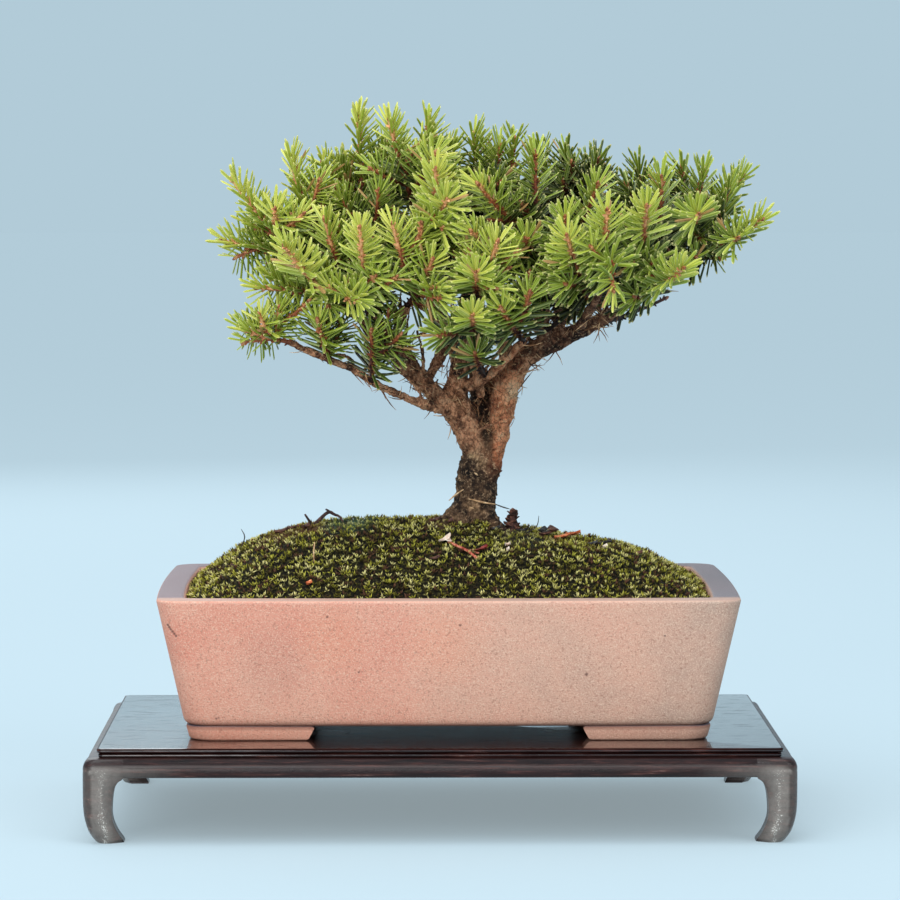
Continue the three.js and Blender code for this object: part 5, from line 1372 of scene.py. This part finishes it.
def leaf_out():
    """The tree that clothes shoots: stems along their lines, then pegs and needles round them, then buds."""
    tree, given, result = scatter_tree("clothe shoots", {
        "Needle": ("Object", None),
        "Peg": ("Object", None),
        "Bud": ("Object", None),
        "Needle Spacing": ("Float", 0.28 * MM),
        "Peg Spacing": ("Float", 0.85 * MM),
        "Base Lean": ("Float", 80.0),
        "Tip Lean": ("Float", 32.0),
        "Parting": ("Float", 0.95),
        "Heart": ("Vector", (0.012, 0, 0.12)),
        "Seed": ("Int", 1),
        "Needle Finish": ("Material", None),
        "Stem Finish": ("Material", None),
        "Bud Finish": ("Material", None),
    })

    def read(name, kind="FLOAT"):
        return grow(tree, "GeometryNodeInputNamedAttribute", {0: name}, data_type=kind).outputs[0]

    def number(operation, first, second=0.0):
        return reckon(tree, operation, first, second)

    def vector(operation, first, second=(0, 0, 0)):
        return grow(tree, "ShaderNodeVectorMath", {0: first, 1: second}, operation=operation)

    def scaled(first, factor):
        return grow(tree, "ShaderNodeVectorMath", {0: first, "Scale": factor}, operation="SCALE")

    def chance(low, high, offset):
        return dealt(tree, low, high, number("ADD", given["Seed"], offset))

    def round_stem(turn):
        return vector("ADD", scaled(under, number("COSINE", turn)), scaled(beside, number("SINE", turn)))

    def set_off(points, way, share):
        offset = scaled(way, number("MULTIPLY", read("thickness"), share))
        return grow(tree, "GeometryNodeSetPosition", {0: points, "Offset": offset})

    def aimed(way):
        return grow(tree, "FunctionNodeAlignRotationToVector", {"Vector": way}, axis="Z")

    def every(spacing):
        return grow(tree, "GeometryNodeCurveToPoints", {0: lines, "Length": given[spacing]}, mode="LENGTH")

    lines = grow(tree, "GeometryNodeMeshToCurve", {0: given["Geometry"]})
    thick = grow(tree, "GeometryNodeSetCurveRadius", {0: lines, "Radius": read("thickness")})
    circle = grow(tree, "GeometryNodeCurvePrimitiveCircle", {"Resolution": 6, "Radius": 1.0})
    stems = grow(tree, "GeometryNodeCurveToMesh", {0: thick, 1: circle, "Fill Caps": True})
    if "Scale" in stems.inputs:
        feed(tree, stems.inputs["Scale"], read("thickness"))

    along = vector("NORMALIZE", read("axis", "FLOAT_VECTOR"))
    outward = vector("SUBTRACT", grow(tree, "GeometryNodeInputPosition"), given["Heart"])
    sunk = vector("ADD", vector("NORMALIZE", vector("MULTIPLY", outward, (1, 1, 0))), (0, 0, -0.7))
    lengthwise = scaled(along, vector("DOT_PRODUCT", sunk, along).outputs[1])
    under = vector("NORMALIZE", vector("SUBTRACT", sunk, lengthwise))
    beside = vector("CROSS_PRODUCT", along, under)

    golden = number("MULTIPLY", grow(tree, "GeometryNodeInputIndex"), math.radians(GOLDEN_ANGLE))
    wandering = number("ADD", golden, chance(-0.3, 0.3, 1))
    wrapped = grow(tree, "ShaderNodeMath", {0: wandering, 1: math.pi, 2: -math.pi}, operation="WRAP")
    share = number("SUBTRACT", 1.0, number("DIVIDE", given["Parting"], math.pi))
    opened = number("ADD", given["Parting"], number("MULTIPLY", number("ABSOLUTE", wrapped), share))
    radial = round_stem(number("MULTIPLY", opened, number("SIGN", wrapped)))
    leans = {0: number("POWER", read("along"), 2.8), 2: given["Base Lean"], 3: given["Tip Lean"]}
    lean = grow(tree, "ShaderNodeMix", leans, data_type="FLOAT")
    tilt = number("RADIANS", number("ADD", lean, chance(-9.0, 9.0, 2)))
    way = vector("ADD", scaled(along, number("COSINE", tilt)), scaled(radial, number("SINE", tilt)))
    roll = {0: aimed(way), "Vector": along}
    rolled = grow(tree, "FunctionNodeAlignRotationToVector", roll, axis="X", pivot_axis="Z")
    taper = span(tree, read("along"), 0.55, 1.0, 1.0, 0.78)
    size = number("MULTIPLY", number("MULTIPLY", chance(0.84, 1.1, 3), taper), read("vigour"))
    bare = grow(tree, "FunctionNodeCompare", {0: read("leafy"), 1: 0.5}, operation="LESS_THAN")
    leafy = {0: every("Needle Spacing"), 1: bare}
    sites = set_off(grow(tree, "GeometryNodeDeleteGeometry", leafy, domain="POINT"), radial, 0.85)
    needles = planted(tree, given["Needle"], sites, rolled, size)
    needles = stamped(tree, needles, "chance", chance(0.0, 1.0, 4))

    peg_radial = round_stem(chance(0.0, 2 * math.pi, 6))
    peg_way = vector("ADD", peg_radial, scaled(along, 0.7))
    peg_sites = set_off(every("Peg Spacing"), peg_radial, 0.9)
    pegs = planted(tree, given["Peg"], peg_sites, aimed(peg_way), chance(0.7, 1.15, 7))

    tips = {0: given["Geometry"], "Selection": read("tip", "BOOLEAN")}
    ends = grow(tree, "GeometryNodeMeshToPoints", tips)
    bud_way = aimed(read("axis", "FLOAT_VECTOR"))
    buds = planted(tree, given["Bud"], ends, bud_way, chance(0.7, 1.05, 5))
    feed(tree, result.inputs[0], joined(
        tree,
        clad(tree, stems, given["Stem Finish"]),
        clad(tree, real(tree, needles), given["Needle Finish"]),
        clad(tree, real(tree, pegs), given["Stem Finish"]),
        clad(tree, real(tree, buds), given["Bud Finish"]),
    ))
    return tree


def shoot_point(root, tip, t):
    """A shoot leaves outwards and then turns up to its tip."""
    bend = Vector((
        root.x + (tip.x - root.x) * SHOOT_BEND_OUT,
        root.y + (tip.y - root.y) * SHOOT_BEND_OUT,
        root.z + (tip.z - root.z) * SHOOT_BEND_UP,
    ))
    return root * (1 - t) ** 2 + bend * 2 * t * (1 - t) + tip * t * t


def limb_point(name, fraction):
    """The place at a fraction of a limb's run of points, in millimetres."""
    rows = LIMBS[name]
    place = fraction * (len(rows) - 1)
    k = min(int(place), len(rows) - 2)
    return Vector(rows[k][:3]).lerp(Vector(rows[k + 1][:3]), place - k)


def side_twig(start, end, leader, dice):
    """A short twig that forks from a shoot, out to one side and a little up."""
    fork = dice.uniform(*TWIG_FORKS)
    root = shoot_point(start, end, fork)
    ahead = (shoot_point(start, end, fork + 0.05) - root).normalized()
    aside = Vector([dice.gauss(0, 1) for _ in range(3)]).cross(ahead).normalized()
    if aside.dot((root - CROWN_HEART).normalized()) > 0.15:
        aside.negate()
    way = (ahead + aside * dice.uniform(*TWIG_ASIDE) + Vector((0, 0, TWIG_UP))).normalized()
    tip = root + way * dice.uniform(*TWIG_REACH) * (1 if leader else TWIG_ON_SIDE_SHOOT)
    tip.z, tip.y = min(tip.z, CROWN_TOP), min(tip.y, CROWN_BACK)
    return root, tip, TWIG_RADIUS


def limited(value):
    """A value held between 0 and 1."""
    return max(0, min(1, value))


def shoot_marks(spot, t, bare, radius):
    """What the scatter tree reads at a point of a shoot, a share t along it."""
    outer = Vector((a / b for a, b in zip(spot - CROWN_HEART, CROWN_REACH))).length
    front = LIGHT_FRONT * limited((-spot.y - LIGHT_FRONT_FROM) / LIGHT_FRONT_DEPTH)
    shaded = min(LIGHT_SHADE, LIGHT_FALL * max(0, spot.x - LIGHT_SIDE))
    vigour = LOW_VIGOUR + LOW_VIGOUR_GAIN * limited((spot.z - LOW_CROWN) / LOW_CROWN_DEPTH)
    leaf_line = LEAF_LINE + LEAF_LINE_RISE * max(0, spot.x - LEAF_LINE_BEND)
    under_limb = spot.x > LEAF_LINE_FROM and spot.z < leaf_line
    return {
        "along": max(0, (t - bare) / (1 - bare)),
        "thickness": (radius + (STEM_TIP_RADIUS - radius) * t) * MM,
        "leafy": 1.0 if t >= bare and not under_limb else 0.0,
        "light": limited(LIGHT_OUTER * outer - LIGHT_LESS + LIGHT_TIP * t + front - shaded),
        "vigour": (1.0 if radius > TWIG_RADIUS else TWIG_VIGOUR) * vigour,
        "tip": t == 1,
    }


clothe = leaf_out()
twig_dice = random.Random(12)
for count, (limb, at, tip, sides) in enumerate(SPRAYS, 1):
    root, leader_tip = limb_point(limb, at), Vector(tip)
    leader_tip.z = min(leader_tip.z, CROWN_TOP)
    shoots = [(root, leader_tip, STEM_RADIUS)]
    for fork, side_tip in sides:
        shoots.append((shoot_point(root, leader_tip, fork), Vector(side_tip), STEM_FORK_RADIUS))
    for k, (start, end, _) in enumerate(list(shoots)):
        fewer = (k > 0) + (leader_tip.x > OPEN_SIDE)
        for _ in range(TWIGS_PER_SHOOT - fewer):
            twig = side_twig(start, end, k == 0, twig_dice)
            lowest = TWIG_LOWEST if twig[0].x > LOW_SIDE else TWIG_LOWEST_LEFT
            if min(twig[0].z, twig[1].z) > lowest:
                shoots.append(twig)
    points, edges, axes, marks = [], [], [], []
    for start, end, radius in shoots:
        length = (end - start).length
        leafy_share = LEAFY_SHARE if end.z > LOW_TUFT else LOW_TUFT_SHARE
        bare = 1 - min(length * leafy_share, LEAFY_LENGTH) / length
        steps = max(5, round(length / SHOOT_STEP))
        for i in range(steps + 1):
            t = i / steps
            spot = shoot_point(start, end, t)
            ahead = shoot_point(start, end, min(t + 0.02, 1)) - shoot_point(start, end, max(t - 0.02, 0))
            if i:
                edges.append((len(points) - 1, len(points)))
            points.append(spot * MM)
            axes += list(ahead.normalized())
            marks.append(shoot_marks(spot, t, bare, radius))
    mesh = bpy.data.meshes.new("shoot_lines")
    mesh.from_pydata(points, edges, [])
    for label in marks[0]:
        mark(mesh, label, [row[label] for row in marks], "BOOLEAN" if label == "tip" else "FLOAT")
    mark(mesh, "axis", axes, "FLOAT_VECTOR")
    leafy_mesh = run_tree(
        put("shoot_lines", mesh), clothe, needle=needle, peg=peg, bud=bud, seed=count * 10,
        needle_finish=needle_finish, stem_finish=shoot_finish, bud_finish=bud_finish,
    )
    name = f"spray_{count:02d}"
    piece("leafy_" + name, leafy_mesh, needle_finish, "needles", name)
for thing in (needle, peg, bud):
    bpy.data.objects.remove(thing)


# Scraps on the moss and the trunk: a small cone, a bent dry twig, and a petal on its red stalk with a
# leaf, all fallen or blown in, with chips of bark and straws among them. They only lie there.
CONE_FOOT = (20.7, 2.6)
CONE_SCALES = 20
CONE_TURN = 137.5
CONE_CORE = [(20.8, 0, 1.7), (21.1, 3.5, 1.8), (21.5, 7.5, 0.6)]
BENT_TWIG = [
    [
        (-41, 1.6, 80.6, 0.5), (-38, 2, 81.4, 0.62), (-36, 2, 82.2, 0.62), (-34.4, 2, 83.6, 0.55),
        (-32.6, 1.7, 85.4, 0.5), (-31.2, 1.5, 86.1, 0.5), (-30, 1.3, 85.4, 0.42),
        (-28.4, 1.1, 84.8, 0.36), (-27.4, 1, 83.2, 0.3),
    ],
    [(-36.2, 2, 82.0, 0.4), (-37.2, 2.1, 83.6, 0.36), (-38.4, 2.2, 85.4, 0.26)],
    [(-31.2, 1.5, 86.0, 0.36), (-31.8, 1.5, 86.6, 0.3), (-32.4, 1.4, 86.9, 0.24)],
]
STALK = [(2.6, -21.2), (5.2, -24.4), (7.8, -27.2), (10.6, -29.9)]
STALK_FORK = [(5.2, -24.4), (8.4, -26), (11.2, -26.6)]


def scrap_finish(name, dark, middle, pale, roughness=0.8):
    """A dry, mottled finish in three tones."""
    material, tree = new_finish(name, roughness, 0.3)
    mottle = speckle(tree, object_place(tree), 800, 5, 0.7)
    coat(tree, ramp(tree, mottle, (0.36, *dark), (0.52, *middle), (0.66, *pale)), mottle, 0.6, 0.0004)
    return material


def gathered(name, parts):
    """One mesh of several, each with its own finish."""
    work, finishes = bmesh.new(), []
    for mesh, finish in parts:
        first = len(work.faces)
        work.from_mesh(mesh)
        bpy.data.meshes.remove(mesh)
        if finish not in finishes:
            finishes.append(finish)
        work.faces.ensure_lookup_table()
        for face in work.faces[first:]:
            face.material_index = finishes.index(finish)
    whole = bpy.data.meshes.new(name)
    work.to_mesh(whole)
    work.free()
    for finish in finishes:
        whole.materials.append(finish)
    return whole


def on_moss(x, y, rise):
    """A place at a rise over the moss, in millimetres."""
    return Vector((x, y, moss_height(x, y) + rise))


def chip(middle, length, width, turn, lift=0.0, curl=0.0, thick=0.35):
    """A flat scrap, pointed at both ends; its curl bends the ends up. Sizes are in millimetres."""
    ahead = Matrix.Rotation(turn, 3, "Z") @ Vector((math.cos(lift), 0, math.sin(lift)))
    side = Matrix.Rotation(turn, 3, "Z") @ Vector((0, 1, 0))
    upward = ahead.cross(side)
    rings = []
    for k in range(7):
        t = k / 3 - 1
        half = width / 2 * max(0.12, math.sqrt(max(0, 1 - t * t)))
        centre = middle + ahead * t * length / 2 + upward * curl * t * t
        cup = curl * 0.4
        ring = [centre + side * half * u + upward * (thick * v + cup * u * u) for u, v in (
            (-1, 0), (0, -0.5), (1, 0), (0.6, 0.5), (-0.6, 0.5),
        )]
        rings.append([p * MM for p in ring])
    return loft("chip", rings, 30)


cone_brown = scrap_finish("cone scales", (26, 16, 14), (72, 42, 34), (134, 88, 68))
cone_parts, cone_foot = [], on_moss(*CONE_FOOT, -1)
for k in range(CONE_SCALES):
    t = k / (CONE_SCALES - 1)
    turn = math.radians(CONE_TURN * k)
    out = Vector((math.cos(turn), 0.55 * math.sin(turn), 0))
    middle = cone_foot + Vector((0.8 * t, 0, 0.6 + 7.2 * t)) + out * (1.8 - 1.2 * t)
    scale = chip(middle, 3.5 - 1.2 * t, 2.9 - 0.9 * t, turn, math.radians(34 + 36 * t), -0.4, 0.5)
    cone_parts.append((scale, cone_brown))
cone_core = [(x, CONE_FOOT[1], cone_foot.z + rise, radius) for x, rise, radius in CONE_CORE]
cone_parts.append((limb_mesh("cone_core", cone_core, 10), cone_brown))
piece("cone_piece", gathered("cone_piece", cone_parts), cone_brown, "dry_scraps", "cone_scale")

twig_brown = scrap_finish("dry twig", (26, 17, 17), (58, 38, 36), (104, 74, 66))
twig_parts = [(limb_mesh("twig", rows, 7), twig_brown) for rows in BENT_TWIG]
piece("bent_twig", gathered("bent_twig", twig_parts), twig_brown, "dry_scraps", "dry_twig")

petal_pale = scrap_finish("dry petal", (206, 166, 142), (232, 206, 186), (246, 236, 224), 0.6)
stalk_red = scrap_finish("red stalk", (120, 40, 30), (176, 84, 62), (222, 150, 122), 0.6)
leaf_red = scrap_finish("red leaf", (70, 12, 10), (128, 30, 22), (178, 72, 50), 0.5)
stalk = [(*on_moss(x, y, 0.9), 0.42) for x, y in STALK]
fork = [(*on_moss(x, y, 0.9), 0.3) for x, y in STALK_FORK]
petal_parts = [
    (chip(on_moss(1.9, -20.6, 1.2), 4.2, 3.4, 0.5, 0.5, 0.7), petal_pale),
    (chip(on_moss(2.6, -21.2, 1.3), 2.4, 2.0, 2.2, 0.6, 0.4), petal_pale),
    (limb_mesh("stalk", stalk, 6), stalk_red),
    (limb_mesh("fork", fork, 6), stalk_red),
    (chip(on_moss(10.2, -26.2, 1.1), 6.4, 2.6, 0.1, 0.1, 0.5), leaf_red),
    (chip(on_moss(12.4, -25.8, 1.3), 3.6, 2.2, 0.9, 0.35, 0.4), leaf_red),
]
piece("petal_on_stalk", gathered("petal_on_stalk", petal_parts), petal_pale, "dry_petal", "dry_petal")

chip_orange = scrap_finish("orange bark chip", (150, 64, 34), (204, 106, 62), (238, 176, 128))
chip_brown = scrap_finish("brown bark chip", (40, 24, 20), (88, 54, 42), (140, 94, 72))
chip_dark = scrap_finish("dark bark chip", (20, 18, 18), (52, 48, 46), (100, 96, 94))
straw = scrap_finish("straw", (150, 110, 74), (200, 160, 116), (232, 204, 164), 0.6)
CHIPS = [
    (35.6, -1.5, 1.9, 4.8, 3.0, 0.2, chip_orange), (38.8, 0, 1.9, 4.4, 2.6, -0.3, chip_orange),
    (31.2, 1, 1.8, 5.4, 3.8, 0.6, chip_brown), (33, 1, 2.8, 4.2, 3.2, 2.0, chip_brown),
    (30, 0, 2.2, 3.6, 2.8, 1.2, chip_dark),
    (46.5, -3, 1.0, 6.6, 2.0, -0.25, chip_dark), (44, -4.6, 0.8, 3.6, 2.2, 0.4, chip_dark),
    (47.6, -7.2, 0.9, 2.0, 1.5, 0.9, petal_pale), (-1.2, -29.6, 0.8, 3.2, 2.2, 0.4, chip_brown),
    (-36.3, -38.6, 0.8, 2.2, 1.8, 0.9, chip_orange), (19.5, -19.6, 0.9, 1.6, 1.1, 0.2, petal_pale),
    (19.4, -23.6, 0.9, 1.5, 0.9, 1.0, petal_pale), (-45, 0, 0.9, 4.2, 2.6, 0.3, chip_brown),
    (-41.6, -1, 1.1, 3.8, 2.2, -0.4, chip_brown), (-38, -4, 1.0, 3.2, 2.0, 0.9, chip_brown),
    (-1, -4, 1.0, 3.6, 2.4, 0.3, chip_brown), (3.4, -6, 0.9, 2.6, 1.8, 1.2, chip_brown),
    (57, -12, 0.8, 2.6, 1.6, 0.6, chip_brown), (-58, -20, 0.8, 2.4, 1.4, 2.4, chip_brown),
    (16.4, -5.2, 1.0, 3.0, 1.8, 0.4, chip_dark), (24, -4, 0.9, 3.4, 1.8, -0.3, chip_dark),
]
STRAWS = [
    ([(8.4, -2.6, 90.2), (11, -3, 89.6), (13.6, -3, 89), (16.4, -2.6, 88.6)], 0.3, straw),
    ([(15.8, -2.6, 88.8), (18.4, -2.6, 87.8), (20.4, -2.4, 87.2)], 0.22, chip_dark),
    ([(3, -1.6, 89.6), (4.8, -1.8, 91.2), (7.2, -1.6, 92.8)], 0.3, straw),
    ([(10.2, -2.2, 97.6), (10.8, -2.4, 97.3), (11.3, -2.3, 96.8)], 0.3, straw),
    ([(8.8, -3.5, 87.9), (9.4, -3.7, 87.6), (10.2, -3.7, 87.4)], 0.34, straw),
    ([(-35.1, -29.6, 74.4), (-35.2, -29.6, 77.2), (-34.9, -29.4, 80.2)], 0.26, straw),
    ([(23, -3, 80.6), (26, -4, 80.9), (28.2, -4, 82.6), (28.7, -4, 85.4)], 0.16, chip_dark),
    ([(-56, -16, 77.6), (-55, -16, 80.4), (-56, -16, 82.6)], 0.18, chip_dark),
    ([(21.4, -3, 80.4), (24, -4, 81.2), (26.6, -5, 80)], 0.2, chip_dark),
]
litter = [
    (chip(on_moss(x, y, rise), length, width, turn, 0.2, 0.3, 0.9), finish)
    for x, y, rise, length, width, turn, finish in CHIPS
]
for places, radius, finish in STRAWS:
    last = len(places) - 1
    tapered = [(*spot, radius * (0.45 if k in (0, last) else 1)) for k, spot in enumerate(places)]
    litter.append((limb_mesh("straw", tapered, 5), finish))
piece("litter", gathered("litter", litter), chip_brown, "dry_scraps")
